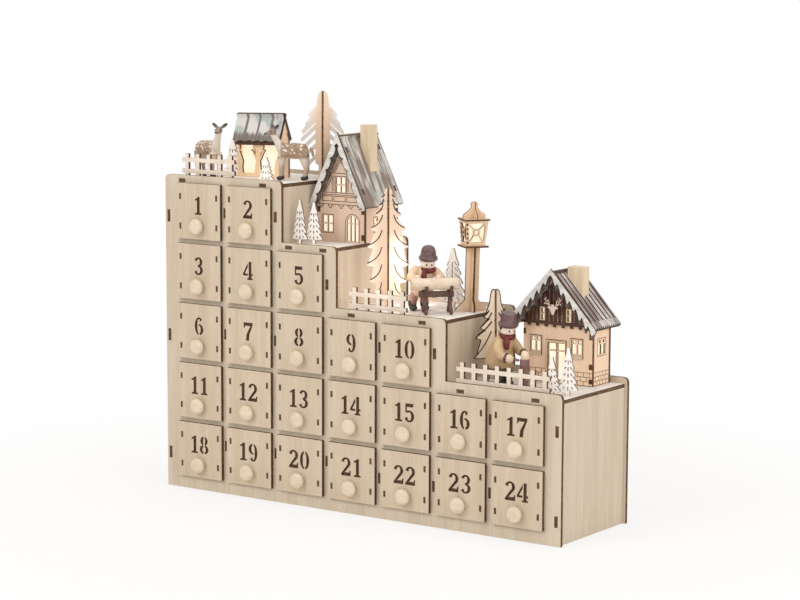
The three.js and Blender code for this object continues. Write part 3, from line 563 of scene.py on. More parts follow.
numeral_cuts = {
    "0": [curl(half_tall, (4.8, half_tall), 98, 262), curl(half_tall, (4.8, half_tall), -82, 82)],
    "1": [[
        (-3.5, 0), (3.5, 0), (3.5, 1.3), (1.7, 1.7), (1.7, tall), (0.3, tall),
        (-3.5, 12.9), (-3.5, 11.7), (-1.3, 12.4), (-1.3, 1.7), (-3.5, 1.3),
    ]],
    "2": [curl(10.9, (4.7, 4.4), 168, -40, 0, two_tail)],
    "3": [[*three_top[0], *three_foot[0], *three_foot[1][::-1], *three_waist, *three_top[1][::-1]]],
    "4": [
        [(-5.0, 3.5), (0.1, 3.5), (0.1, 5.3), (-3.0, 5.3), (0.1, 10.8), (0.1, 14.3), (-5.0, 5.3)],
        [
            (-0.5, 0), (5.2, 0), (5.2, 1.3), (3.9, 1.6), (3.9, 3.5), (5.3, 3.5), (5.3, 5.3),
            (3.9, 5.3), (3.9, tall), (1.0, tall), (1.0, 1.6), (-0.5, 1.3),
        ],
    ],
    "5": [[*five_flag, *curl(4.85, (4.8, 4.85), 112, -160, 1)]],
    "6": six_cuts,
    "7": [[
        (-4.7, tall), (-4.7, 10.7), (-3.7, 10.7), (-3.1, 12.4), (2.3, 12.4), (-1.7, 5.2),
        (-2.4, 0), (0.9, 0), (1.4, 5.4), (4.8, 13.4), (4.8, tall),
    ]],
    "8": [eight_left, [(-x, z) for x, z in eight_left]],
    "9": [[(-x, tall - z) for x, z in cut] for cut in six_cuts],
}


class Pattern(Recipe):
    """A Geometry Nodes tree with named sizes, kept in millimetres, that ends in one plain mesh."""

    def __init__(self, name):
        super().__init__(bpy.data.node_groups.new(name, "GeometryNodeTree"))
        self.tree.interface.new_socket("Geometry", in_out="OUTPUT", socket_type="NodeSocketGeometry")
        self.sizes = {}
        self.inlet = self.tree.nodes.new("NodeGroupInput")

    def inputs(self, *names, kind="NodeSocketFloat"):
        """Named sizes of the pattern, in the order given."""
        made = []
        for name in names:
            socket = self.tree.interface.new_socket(name, in_out="INPUT", socket_type=kind)
            self.sizes[name] = socket.identifier
            made.append(Sum(self, self.inlet.outputs[name]))
        return made

    def vector(self, x, y, z):
        return self.node("ShaderNodeCombineXYZ", None, {0: x, 1: y, 2: z})

    def slab(self, size, middle, thickness):
        """A box of board, its edges marked as cut. Thickness is the axis through the board."""
        box = self.node("GeometryNodeMeshCube", None, {"Size": self.vector(*size)})
        facing = self.node("GeometryNodeInputNormal")
        across = self.vector_sum("DOT_PRODUCT", facing, thickness, out=1)
        is_edge = across.with_terms("ABSOLUTE", across) < 0.5
        kind = {"data_type": "FLOAT", "domain": "FACE"}
        mark = {"Geometry": box, "Name": "cut", "Value": is_edge}
        marked = self.node("GeometryNodeStoreNamedAttribute", kind, mark)
        shift = {"Geometry": marked, "Translation": self.vector(*middle)}
        return self.node("GeometryNodeTransform", None, shift)

    def row(self, piece, count, step):
        """Copies of a piece in a straight row."""
        line = self.node("GeometryNodeMeshLine", None, {"Count": count, "Offset": self.vector(*step)})
        return self.node("GeometryNodeInstanceOnPoints", None, {"Points": line, "Instance": piece})

    def ends_in(self, pieces, finish):
        joined = self.tree.nodes.new("GeometryNodeJoinGeometry")
        for piece in pieces:
            self.tree.links.new(piece.socket, joined.inputs[0])
        plain = self.node("GeometryNodeRealizeInstances", None, {0: Sum(self, joined.outputs[0])})
        coloured = self.node("GeometryNodeSetMaterial", None, {"Geometry": plain, "Material": finish})
        outlet = self.tree.nodes.new("NodeGroupOutput")
        self.tree.links.new(coloured.socket, outlet.inputs[0])

    def cast(self, name, place, **sizes):
        """A plain mesh from the pattern at the given sizes, moved to its place."""
        seed = bpy.data.meshes.new(name)
        piece = bpy.data.objects.new(name, seed)
        bpy.context.scene.collection.objects.link(piece)
        growth = piece.modifiers.new("pattern", "NODES")
        growth.node_group = self.tree
        for size, value in sizes.items():
            growth[self.sizes[size]] = value
        shapes = bpy.context.evaluated_depsgraph_get()
        mesh = bpy.data.meshes.new_from_object(piece.evaluated_get(shapes))
        piece.modifiers.clear()
        piece.data = mesh
        bpy.data.meshes.remove(seed)
        mesh.name = name
        mesh.transform(place)
        return piece


plate_finish = plywood("birch_plate", edge_by_mark, light=colour(212, 197, 175), dark=colour(200, 183, 161))


def mottled(name, grain, low, high, rough, roughness_drift, detail=3.0, span=(0.3, 0.7), **steady):
    """A finish that drifts between two colours, and grows rougher towards the second."""
    material, recipe, shader = new_finish(name)
    drift = recipe.noise(recipe.place(grain), detail=detail)
    look = recipe.mixed(recipe.stepped(drift, *span) if span else drift, low, high)
    feed(recipe, shader, {"Base Color": look, "Roughness": rough + drift * roughness_drift, **steady})
    return material


# Dark brown of the laser's scorch; on the numeral backings it is also painted shade
scorch_and_painted_shade = mottled("scorched_ply_and_painted_shade", (420, 420, 420), colour(62, 38, 25), colour(92, 60, 40), 0.7, 0.2)
tray_finish = plywood("birch_tray", edge_by_mark, along="Y")
tray = Pattern("drawer_tray")
width, depth, height, board, foot = tray.inputs("Width", "Depth", "Height", "Board", "Foot")
[fingers] = tray.inputs("Fingers", kind="NodeSocketInt")
middle_height = foot + height * 0.5
side_middle = width * 0.5 - board * 0.5
inside = width - board * 2
tray_sides = [
    tray.slab((board, depth, height), (side_middle * side, depth * 0.5, middle_height), (1, 0, 0))
    for side in (-1, 1)
]
floor_middle = (0.0, (depth - board) * 0.5, foot + board * 0.5)
tray_floor = tray.slab((inside, depth - board, board), floor_middle, (0, 0, 1))
tray_back = tray.slab((inside, board, height), (0.0, depth - board * 0.5, middle_height), (0, 1, 0))
finger_middle = (0.0, depth - board * 0.5, foot + height * 0.19)
finger_end = tray.slab((width + 0.06, board, height * 0.125), finger_middle, (0, 1, 0))
finger_row = tray.row(finger_end, fingers, (0.0, 0.0, height * 0.25))
tray.ends_in([*tray_sides, tray_floor, tray_back, finger_row], tray_finish)

beech_light, beech_dark = colour(226, 212, 190), colour(217, 201, 178)
knob_finish = mottled("turned_beech", (90, 40, 260), beech_light, beech_dark, 0.42, 0.12, detail=2.0)
knob_profile = [
    (0, -1.0), (4.2, -1.0), (4.2, 1.0), (4.9, 1.6), (6.1, 2.1), (6.6, 2.7), (6.7, 3.5), (6.6, 4.3),
    (6.1, 5.1), (5.2, 5.8), (4.0, 6.2), (2.2, 6.45), (0, 6.5),
]
knob_height = 11.1
numeral_depth = 0.9
backing_depth = 0.4
backing_lap = 2.0  # backing past the numeral, on every side
column_pitch = 53.5
left_margin = 11.9
row_pitch = 51.5
base_margin = 11.2
drawers_in_row = (2, 3, 5, 7, 7)
drawer_places = [
    (left_margin + (column + 0.5) * column_pitch, base_margin + (4 - row) * row_pitch)
    for row, count in enumerate(drawers_in_row)
    for column in range(count)
]
towards_front = turned_by(90, "X")
tray_sizes = {
    "Width": tray_width, "Depth": tray_depth, "Height": tray_height, "Board": ply,
    "Foot": plate_lap + slide_gap, "Fingers": 4,
}


def rectangle(x0, x1, z0, z1):
    return [(x0, z0), (x1, z0), (x1, z1), (x0, z1)]


for number, (x, z) in enumerate(drawer_places, 1):
    name = "drawer_%02d" % number
    here = from_chest(x, 0, z)
    half = plate_width / 2
    rings = [rectangle(-half, half, 0, plate_height)]
    digits = str(number)
    cuts = []
    for place_in_number, digit in enumerate(digits):
        shift = place_in_number * numeral_spacing.get(digits[0], 0)
        cuts += [[(x + shift, z + numeral_foot) for x, z in cut] for cut in numeral_cuts[digit]]
    across = [x for cut in cuts for x, z in cut]
    middle = (min(across) + max(across)) / 2
    rings += [[(x - middle, z) for x, z in cut] for cut in cuts]
    # A board behind the numerals, nearer the face than the real one: its dark brown is the laser's scorch
    # together with painted shade of the deep numeral cuts
    backing = Workpiece()
    reach = (max(across) - min(across)) / 2 + backing_lap
    low = (-reach, plate_front + numeral_depth, numeral_foot - backing_lap)
    back = plate_front + numeral_depth + backing_depth
    high = (reach, back, numeral_foot + numeral_height + backing_lap)
    backing.block(low, high, here)
    backing.made(name + "_backing", scorch_and_painted_shade, body=name, slot="drawer_plywood")
    front = Workpiece()
    for tab_x, tab_z in tab_places:
        wide = tab_half_width + tab_play
        high = tab_half_height + tab_play
        rings.append(rectangle(tab_x - wide, tab_x + wide, tab_z - high, tab_z + high))
        low = (tab_x - tab_half_width, plate_front + 0.05, tab_z - tab_half_height)
        top = (tab_x + tab_half_width, 1.0, tab_z + tab_half_height)
        front.block(low, top, here, across=0)
    front.board(rings, ply, here @ moved_by(0, plate_front, 0))
    front.made(name + "_front", plate_finish, body=name, slot="drawer_plywood", replaces=[name])
    settle(tray.cast(name + "_tray", here, **tray_sizes), name)
    knob = Workpiece()
    knob.turned(knob_profile, 40, here @ moved_by(0, plate_front, knob_height) @ towards_front)
    knob.made(name + "_knob", knob_finish, body=name, slot="drawer_plywood", smooth=50)

# Little trees
# Seven flat trees of 2 mm plywood, painted white and pierced with slanting slots, are glued upright on the
# terraces. Their cut edges and the slots' walls stay dark.
thin_ply = 2.0
seat_gap = 0.1
# The white is raised above the paint's own tone and the trees glow faintly: painted light of the bulbs near
# them
tree_white, tree_grey = colour(248, 246, 243), colour(238, 233, 227)
little_tree_finish_painted_glow = white_paint("little_tree_white_paint_and_painted_glow", edge_by_mark, tree_white, tree_grey, 0.12)
# each: its terrace, place, height and half width
little_trees = (
    (0, 98, 15, 21, 7), (0, 26, 60, 31, 9), (1, 131, 18.5, 37, 7), (1, 141.4, 24, 35, 8),
    (2, 245, 77, 50, 13), (3, 376.5, 21, 30, 7), (3, 387, 28, 38, 8),
)
little_tree_turn = 8
tiers = 5


def mirrored(side, top=()):
    """A closed outline from its right half, drawn from the foot up, and any points on its middle line."""
    return [*side, *top, *[(-x, z) for x, z in side[::-1]]]


def ribbon(line, widths):
    """The outline of a stroke along a line of [x, z] points, with its own width at each of them."""
    left = []
    right = []
    for k, ((x, z), width) in enumerate(zip(line, widths)):
        x0, z0 = line[max(k - 1, 0)]
        x1, z1 = line[min(k + 1, len(line) - 1)]
        length = math.hypot(x1 - x0, z1 - z0)
        across = (-(z1 - z0) / length * width / 2, (x1 - x0) / length * width / 2)
        left.append((x + across[0], z + across[1]))
        right.append((x - across[0], z - across[1]))
    return left + right[::-1]


def slot_ring(x, z, length, width, slant):
    """A slot pierced about [x, z], slanting down and outwards by slant degrees."""
    angle = math.radians(slant)
    dx, dz = math.cos(angle) * length / 2, -math.sin(angle) * length / 2
    return ribbon([(x - dx, z - dz), (x, z), (x + dx, z + dz)], [width * 0.5, width, width * 0.5])


for number, (level, x, y, height, half) in enumerate(little_trees, 1):
    side = [(half * 0.16, 0), (half * 0.16, height * 0.1)]
    for k in range(tiers):
        reach = half * (1 - 0.72 * k / tiers)
        foot = height * (0.1 + 0.74 * k / tiers)
        for share_out, share_up in ((1.0, 0.01), (0.95, 0.05), (0.56, 0.15)):
            side.append((reach * share_out, foot + height * share_up))
    side += [(half * 0.1, height * 0.985)]
    rings = [mirrored(side, [(0, height)])]
    rows = max(3, round(height / 7.5))
    for k in range(rows):
        z0 = height * (0.14 + 0.68 * k / rows)
        rings.append(slot_ring(0, z0, height * 0.09, 0.85 + height * 0.01, 90))
        reach = half * (0.78 - 0.6 * k / rows)
        out = 0.36 * reach + half * 0.16
        while out < reach:
            for sign in (-1, 1):
                slot_z = z0 + height * 0.03 * (1 - out / half)
                slot = slot_ring(out, slot_z, half * 0.32, 0.8 + height * 0.011, 48)
                rings.append([(sign * x0, z1) for x0, z1 in slot])
            out += half * 0.5
    tree = Workpiece()
    place = from_chest(x, y, terrace_tops[level] + seat_gap, little_tree_turn)
    tree.board(rings, thin_ply, place @ moved_by(0, -thin_ply / 2, 0))
    tree.made("little_tree_%d" % number, little_tree_finish_painted_glow, slot="white_painted_plywood")

# Battery box
# A small black plastic box stands in the back panel's cut-out and feeds the string of lights. Its lid is
# held by a screw and ribbed for the thumb, and a slide switch stands in its corner.
black_plastic, plastic_recipe, plastic_shader = new_finish("black_plastic")
grain_of_plastic = plastic_recipe.noise(plastic_recipe.place((1500, 1500, 1500)), detail=2.0)
haze = plastic_recipe.noise(plastic_recipe.place((60, 60, 60)), detail=2.0)
plastic_look = plastic_recipe.mixed(haze, colour(38, 37, 36), colour(47, 46, 45))
plastic_bump = relief(plastic_recipe, grain_of_plastic, 0.3, 0.0001)
plastic_rough = 0.42 + haze * 0.1
feed(plastic_recipe, plastic_shader, {
    "Base Color": plastic_look, "Roughness": plastic_rough, "Normal": plastic_bump,
})
steel, steel_recipe, steel_shader = new_finish("zinc_plated_screw")
brushed = steel_recipe.noise(steel_recipe.place((900, 900, 900)), detail=2.0)
steel_sockets = {"Base Color": colour(186, 184, 178), "Metallic": 1.0, "Roughness": 0.28 + brushed * 0.2}
feed(steel_recipe, steel_shader, steel_sockets)


def softened(work, low, high, place, edge=0.6):
    """A moulded box with bevelled edges."""
    x0, y0, z0 = low
    x1, y1, z1 = high
    points = []
    for y, inset in ((y0, edge), (y0 + edge, 0.0), (y1 - edge, 0.0), (y1, edge)):
        cut = inset + edge
        ring = [
            (x0 + cut, z0 + inset), (x1 - cut, z0 + inset), (x1 - inset, z0 + cut), (x1 - inset, z1 - cut),
            (x1 - cut, z1 - inset), (x0 + cut, z1 - inset), (x0 + inset, z1 - cut), (x0 + inset, z0 + cut),
        ]
        points += [(x, y, z) for x, z in ring]
    faces = [tuple(range(8)), tuple(reversed(range(24, 32)))]
    for ring in range(3):
        for k in range(8):
            after = (k + 1) % 8
            low_k, low_after = ring * 8 + k, ring * 8 + after
            faces.append((low_k, low_k + 8, low_after + 8, low_after))
    work.add(points, faces, [0.0] * len(faces), place)


box_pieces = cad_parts["battery_box"].bound_box
box_low = [min(corner[k] for corner in box_pieces) / mm for k in range(3)]
box_high = [max(corner[k] for corner in box_pieces) / mm for k in range(3)]
box_place = Matrix.Scale(mm, 4)
case = Workpiece()
lid_depth = 1.4
softened(case, box_low, (box_high[0], box_high[1] - lid_depth, box_high[2]), box_place)
lid_low = (box_low[0] + 1.2, box_high[1] - lid_depth - 0.6, box_low[2] + 1.2)
lid_high = (box_high[0] - 17, box_high[1] - 0.4, box_high[2] - 1.2)
softened(case, lid_low, lid_high, box_place, 0.4)
for k in range(5):
    rib_x = lid_low[0] + 3 + 1.6 * k
    rib_low = (rib_x, lid_high[1] - 0.3, lid_low[2] + 11)
    softened(case, rib_low, (rib_x + 0.8, lid_high[1] + 0.3, lid_high[2] - 11), box_place, 0.15)
switch_x = box_high[0] - 11
switch_z = (box_low[2] + box_high[2]) / 2
bed_low = (switch_x - 3.5, box_high[1] - lid_depth - 0.4, switch_z - 6)
softened(case, bed_low, (switch_x + 3.5, box_high[1] - 0.9, switch_z + 6), box_place, 0.3)
slider_low = (switch_x - 2, box_high[1] - 1.4, switch_z + 0.5)
softened(case, slider_low, (switch_x + 2, box_high[1], switch_z + 4), box_place, 0.3)
case.made("battery_case", black_plastic, body="battery_box", slot="black_plastic", replaces=["battery_box"])
screw = Workpiece()
towards_back = turned_by(-90, "X")
screw_seat = moved_by(lid_high[0] - 4, lid_high[1] - 0.2, lid_high[2] - 4)
screw_profile = [(0, 0), (1.9, 0), (1.9, 0.3), (1.4, 0.55), (0, 0.6)]
screw.turned(screw_profile, 20, box_place @ screw_seat @ towards_back)
screw.made("battery_lid_screw", steel, body="battery_box", slot="black_plastic", smooth=40)

# Lights
# A string of small warm bulbs is glued inside the houses, the hut and the lantern. Thin sheets of lit
# tracing paper behind the windows spread their light.
tracing_paper, paper_recipe, paper_shader = new_finish("lit_tracing_paper")
fibre = paper_recipe.noise(paper_recipe.place((70, 70, 70)), detail=2.0)
dense = paper_recipe.stepped(fibre, 0.35, 0.7)
paper_glow = paper_recipe.mixed(dense, colour(255, 244, 224), colour(255, 230, 196))
feed(paper_recipe, paper_shader, {
    "Base Color": colour(150, 138, 118), "Emission Color": paper_glow, "Roughness": 0.8,
})
paper_shader.inputs["Emission Strength"].default_value = 0.9
bulb_finish, bulb_recipe, bulb_shader = new_finish("warm_bulb")
bulb_haze = bulb_recipe.noise(bulb_recipe.place((800, 800, 800)), detail=1.0)
bulb_tint = bulb_recipe.mixed(bulb_haze, colour(255, 226, 176), colour(255, 205, 140))
feed(bulb_recipe, bulb_shader, {
    "Base Color": colour(255, 240, 215), "Emission Color": bulb_tint, "Roughness": 0.25,
})
bulb_shader.inputs["Emission Strength"].default_value = 22.0
bulb_places = (
    (57, 53.5, 285), (72, 53.5, 285), (141, 66, 232), (158, 66, 232), (150, 70, 262),
    (332, 88, 150), (352, 88, 150), (370, 88, 150), (196.5, 53, 184),
)
bulb_radii = (1.1, 1.1, 1.7)
lead_line = [(0, 0, 2.6), (0.4, 0.3, 5.0), (-0.3, 0.8, 8.5)]
lead_radii = [0.3, 0.3, 0.3]
bulbs = Workpiece()
lead = Workpiece()
for bulb_place in bulb_places:
    bulbs.ball((0, 0, 0), bulb_radii, from_chest(*bulb_place), 8, 12)
    lead.limb(lead_line, lead_radii, from_chest(*bulb_place), 8)
bulbs.made("light_string_bulbs", bulb_finish, smooth=60)
wire = mottled(
    "enamelled_copper_lead", (500, 500, 500), colour(150, 96, 62), colour(118, 72, 46), 0.3, 0.1, 2.0, None,
    Metallic=0.8,
)
lead.made("light_string_leads", wire, slot="black_plastic", smooth=60)

# Feeding hut
# A small pierced plywood hut for hay stands on the top terrace: wavy posts in front of the lit paper, plain
# gables and a steep roof whose snow lies over dark slats.


def gable(half, wall, slope):
    """A gabled wall's outline, about its middle and from its foot up."""
    return [(-half, 0), (half, 0), (half, wall), (0, wall + half * slope), (-half, wall)]


def facing_right(x, y, z):
    """Where a board is drawn that faces the chest's right end: its X runs to the back."""
    return from_chest(x, y, z, 90)


def facing_left(x, y, z):
    """Where a board is drawn that faces the chest's left end: its X runs to the front."""
    return from_chest(x, y, z, -90)


def scored(work, points, width, place, proud=0.06):
    """A line scored by the laser along [x, z] points, as a thin dark inlay in a board's face."""
    for (x0, z0), (x1, z1) in zip(points, points[1:]):
        length = math.hypot(x1 - x0, z1 - z0)
        tilt = Matrix.Rotation(-math.atan2(z1 - z0, x1 - x0), 4, "Y")
        here = place @ moved_by(x0, 0, z0) @ tilt
        work.block((-width / 2, -proud, -width / 2), (length + width / 2, 0.3, width / 2), here)


def along_axes(*axes):
    """The turn that lays X, Y and Z along the axes given."""
    return Matrix(axes).transposed().to_4x4()


def roof_side(middle, front, apex, eave, slope, depth, sign):
    """A roof board's place: Z up the slope, and X back along the eave on the right, where sign is 1."""
    angle = math.atan(slope)
    rise, run = math.sin(angle), math.cos(angle)
    start = front if sign > 0 else front + depth
    axes = along_axes((0, sign, 0), (-sign * rise, 0, -run), (-sign * run, 0, rise))
    return from_chest(middle + sign * eave, start, apex - eave * slope) @ axes


# The walls' peach colour is birch warmed by painted light of the bulbs inside, and their faint glow is painted
# light too
hut_light, hut_dark = colour(246, 216, 184), colour(236, 202, 166)
hut_ply_painted_glow = plywood("birch_hut_painted_glow", edge_by_mark, light=hut_light, dark=hut_dark, lit=0.14)
snow_on_ply = white_paint("snow_paint", edge_by_mark, colour(230, 228, 226), colour(192, 192, 190))
hut_left, hut_width, hut_front, hut_depth = 41.0, 46.0, 47.5, 12.0
hut_foot = terrace_tops[0] + seat_gap
hut_wall = 38.0
hut_slope = 2.527
hut_roof_left, hut_roof_width, hut_eave, hut_apex = 37.3, 50.5, 9.3, 323.0
hut = Workpiece()
hut_base = from_chest(hut_left, hut_front, hut_foot)
left_opening = [
    (5.7, 3), (5.0, 8), (5.9, 12.5), (4.4, 17), (1.9, 22), (2.4, 26.5), (4.5, 30.5),
    (18.5, 30.5), (16.6, 26), (19.2, 22), (20.0, 16), (19.4, 10), (18.2, 3),
]
right_opening = [
    (26.0, 3), (24.8, 10), (24.4, 16), (25.5, 22), (28.5, 26), (26.6, 30.5),
    (41.2, 30.5), (43.4, 26), (44.0, 20), (41.0, 14), (40.0, 8), (41.0, 3),
]
hut.board([rectangle(0, hut_width, 0, hut_wall), left_opening, right_opening], thin_ply, hut_base)
hut.board([rectangle(0, hut_width, 0, hut_wall)], thin_ply, hut_base @ moved_by(0, hut_depth, 0))
half_depth = hut_depth / 2 + 1
hut_gable = [(x + half_depth, z) for x, z in gable(half_depth - 0.2, hut_wall - 2, hut_slope)]
hut.board([hut_gable], thin_ply, facing_right(hut_left + hut_width, hut_front, hut_foot))
hut.board([hut_gable], thin_ply, facing_left(hut_left, hut_front + hut_depth + 2, hut_foot))
# a forked branch on each opening's inner side
for x, z, dx, dz in ((20, 16, -5.2, 7.5), (24.5, 15, 5.0, 8.5), (20, 21, -3.0, 5.0), (24.6, 20, 4.0, 4.0)):
    twig = [(x, z), (x + dx * 0.5, z + dz * 0.62), (x + dx, z + dz)]
    hut.board([ribbon(twig, [1.6, 1.2, 0.8])], thin_ply, hut_base)
hut.made("hut_walls", hut_ply_painted_glow, slot="birch_plywood", replaces=["feeding_hut"])
hut_paper = Workpiece()
hut_paper.block((3, 3.2, 1), (hut_width - 3, 3.6, 31), hut_base)
hut_paper.made("hut_lit_paper", tracing_paper)


def brushed_roof(name, base, snow, tint, grain, streaks, threshold, stripes=None):
    """Grey-brown stain with snow brushed over it in streaks that run down the slope.

    Stripes are the first dark slat's place, the pitch and the height that the snow comes down to, in metres."""
    material, recipe, shader = new_finish(name)
    streak = recipe.noise(recipe.place(grain), detail=4.0, roughness=0.6)
    patch = recipe.noise(recipe.place((52, 62, 34)), detail=2.0)
    cool = recipe.noise(recipe.place((90, 70, 60)), detail=1.0)
    broad = recipe.noise(recipe.place(tuple(scale * 0.22 for scale in grain)), detail=1.0)
    amount = streak * streaks + patch * (0.6 - streaks * 0.6) + broad * (0.4 - streaks * 0.4)
    snowy = recipe.stepped(amount, threshold, threshold + 0.1)
    if stripes:
        along = recipe.node("ShaderNodeSeparateXYZ", None, {0: recipe.place()})
        first, pitch, bare_to = stripes
        turns = (along - first + (streak - 0.5) * 0.003) * (2 * math.pi / pitch)
        groove = recipe.stepped(turns.with_terms("COSINE", turns), 0.72, 0.9)
        covered = recipe.stepped(along.other(2) + (streak - 0.5) * 0.014, bare_to, bare_to + 0.004)
        snowy = snowy * (1.0 - groove) * covered
    stain = recipe.mixed(recipe.stepped(streak, 0.3, 0.7), base[0], base[1])
    white_tone = recipe.mixed(recipe.stepped(cool, 0.5, 0.62), snow, tint)
    cut = edge_by_mark(recipe)
    look = recipe.mixed(cut, recipe.mixed(snowy * 0.88, stain, white_tone), colour(74, 60, 52))
    rough = 0.66 + snowy * 0.12
    feed(recipe, shader, {"Base Color": look, "Roughness": rough, "Normal": relief(recipe, streak, 0.3)})
    return material


hut_slats = ((49.8 - body_width / 2) * mm, 0.0135, 0.3035)
hut_roof_finish = brushed_roof(
    "brushed_hut_roof", (colour(104, 98, 94), colour(140, 130, 120)), colour(228, 226, 224),
    colour(186, 198, 196), (380, 26, 26), 0.3, 0.36, hut_slats,
)
hut_roof = Workpiece()
hut_eaves = Workpiece()
slope_length = math.hypot(hut_eave, hut_eave * hut_slope)
ridge_y = hut_front + hut_depth / 2
hut_angle = math.atan(hut_slope)
rise, run = math.sin(hut_angle), math.cos(hut_angle)
askew = turned_by(-1.6, "Y")
middle = from_chest(hut_roof_left + hut_roof_width / 2, ridge_y, hut_apex)
for sign in (1, -1):
    eave = moved_by(-sign * hut_roof_width / 2, -sign * hut_eave, -hut_eave * hut_slope)
    place = middle @ askew @ eave @ along_axes((sign, 0, 0), (0, sign * rise, -run), (0, sign * run, rise))
    drips = [(hut_roof_width * k / 11, -0.9 if k % 2 else 0.5) for k in range(12)]
    hut_roof.board([[*drips, (hut_roof_width, slope_length), (0, slope_length)]], ply, place)
    hut_eaves.board([rectangle(2.5, hut_roof_width - 2.5, -3.0, 1.0)], 1.4, place @ moved_by(0, 1.4, 0))
hut_roof.made("hut_roof", hut_roof_finish, slot="grey_painted_plywood")
hut_eaves.made("hut_eave_strips", scorch_and_painted_shade, slot="birch_plywood")

# Tall house
# The tall half-timbered house on the second terrace: a pierced and scored front, plain sides that are
# finger-jointed to it, a steep brushed roof with a scalloped white bargeboard, and a plain chimney.
roof_play = 0.3
facing = 1.3  # the pierced facing sheet
paper_depth = 0.3
inner_depth = ply - facing - paper_depth  # the sheet behind the paper
corner_proud = 0.06  # scored lines and corner fingers past the wall
# The walls' warm tint and faint glow are painted light of the bulbs inside, over the birch's own colour
house_light, house_dark = colour(228, 203, 182), colour(215, 189, 168)
house_ply_painted_glow = plywood("birch_house_painted_glow", edge_by_mark, light=house_light, dark=house_dark, lit=0.06)
cream_ply = plywood("birch_frames", edge_by_mark, light=colour(236, 214, 184), dark=colour(224, 199, 166))
fine_line = 0.55


def trimmed_house(name, finish, middle, front, foot, half, wall, slope, depth, holes, side_holes):
    """A pierced facing and an inner sheet in front, two sides set between front and rear, and a plain rear."""
    walls = Workpiece()
    base = from_chest(middle, front, foot)
    walls.board([gable(half, wall, slope), *holes], facing, base)
    behind_paper = moved_by(0, facing + paper_depth, 0)
    walls.board([gable(half - 0.2, wall - 0.2, slope)], inner_depth, base @ behind_paper)
    walls.board([gable(half, wall, slope)], ply, from_chest(middle, front + depth - ply, foot))
    run = depth - 2 * ply
    right = facing_right(middle + half, front + ply, foot)
    walls.board([rectangle(0, run, 0, wall - 0.7), *side_holes], facing, right)
    walls.board([rectangle(0.1, run - 0.1, 0.1, wall - 0.8)], inner_depth, right @ behind_paper)
    left = facing_left(middle - half, front + depth - ply, foot)
    walls.board([rectangle(0, run, 0, wall - 0.7)], ply, left)
    walls.made(name, finish, slot="birch_plywood", replaces=[name])
    return base, right


def house_roof(work, shape, slots=()):
    """Two roof boards that meet in the ridge, with mortises at [share of depth, share down the slope]."""
    middle, front, apex, eave, slope, depth = shape
    length = math.hypot(eave, eave * slope)
    for sign in (1, -1):
        rings = [rectangle(0, depth, 0, length)]
        for u, v in slots:
            x0, z0 = u * depth, (1 - v) * length
            rings.append(rectangle(x0 - 1.5, x0 + 1.5, z0 - 2.6, z0 + 2.6))
        work.board(rings, ply, roof_side(*shape, sign))


def lobed_board(work, middle, y, apex, half, slope, width, lobes, bulge, thickness):
    """A bargeboard: straight above, with round lobes along its lower edge and rounded ends."""
    angle = math.atan(slope)
    rise, run = math.sin(angle), math.cos(angle)
    length = half / run
    end = (length * run, -length * rise)
    side = [end]
    for k in range(1, 6):
        swing = math.pi * k / 5.5
        reach = width * (1 - math.cos(swing)) / 2
        out = width * 0.5 * math.sin(swing)
        side.append((end[0] - rise * reach + run * out, end[1] - run * reach - rise * out))
    lobe_steps = 7
    steps = lobes * lobe_steps
    start = length - 0.5
    for k in range(steps):
        along = start * (1 - k / steps)
        share = (k % lobe_steps) / lobe_steps
        lobe = bulge * (math.sqrt(max(0.0, 1 - (2 * share - 1) ** 2)) - 0.35)
        across = width + lobe - (0.5 if k % lobe_steps == 0 else 0)
        x = along * run - across * rise
        if x < 0.15:
            break
        side.append((x, -along * rise - across * run))
    notch = -width / run
    ring = [(0.0, apex), *mirrored([(x, apex + z) for x, z in side], [(0.0, apex + notch)])]
    work.board([ring], thickness, from_chest(middle, y, 0.0))


tall_middle, tall_front, tall_foot = 149.5, 50.0, terrace_tops[1] + seat_gap
tall_half, tall_wall, tall_slope, tall_depth, tall_eave = 24.3, 32.75, 2.05, 49.0, 29.0
door_middle, door_half, door_spring = 12.25, 5.75, 16.5


def arch_height(x):
    """The door's round head, over the tall house's foot."""
    return door_spring + math.sqrt(max(0.0, door_half ** 2 - (x - door_middle) ** 2))


def panes(xs, zs):
    """The panes of a window, from the spans of its columns and rows."""
    return [rectangle(x0, x1, z0, z1) for x0, x1 in xs for z0, z1 in zs]


tall_holes = panes(((-4.8, -0.6), (0.4, 4.6)), ((41.4, 47.2), (48.2, 54)))
tall_holes += panes(((-18.5, -14), (-13, -8.5)), ((8, 14.2), (15.3, 21.5)))
for x0, x1 in ((6.5, 9.6), (10.6, 13.9), (14.9, 18)):
    tall_holes.append(rectangle(x0, x1, 1, 15.2))
    arch_xs = [x0 + (x1 - x0) * k / 4 for k in range(4, -1, -1)]
    tall_holes.append([(x0, 16.1), (x1, 16.1), *[(x, max(arch_height(x), 16.6)) for x in arch_xs]])
side_window = panes(((12, 16.4), (17.4, 21.8)), ((9, 14), (15, 20)))
tall_base, tall_right = trimmed_house(
    "tall_house_walls", house_ply_painted_glow, tall_middle, tall_front, tall_foot, tall_half, tall_wall, tall_slope,
    tall_depth, tall_holes, side_window,
)


def gable_half_at(z):
    """Half of the tall house's gable at a height over its foot."""
    return min(tall_half, (tall_wall + tall_half * tall_slope - z) / tall_slope)


def closed(x0, x1, z0, z1):
    """A rectangle as a line that ends where it starts."""
    return [*rectangle(x0, x1, z0, z1), (x0, z0)]


def corner_fingers(work, half, spans, left_width, place):
    """The dark ends of the side walls' fingers, at the front's two corners."""
    for z0, z1 in spans:
        work.block((half - 3.0, -corner_proud, z0), (half + corner_proud, 0.4, z1), place)
        work.block((-half - corner_proud, -corner_proud, z0), (-half + left_width, 0.4, z1), place)


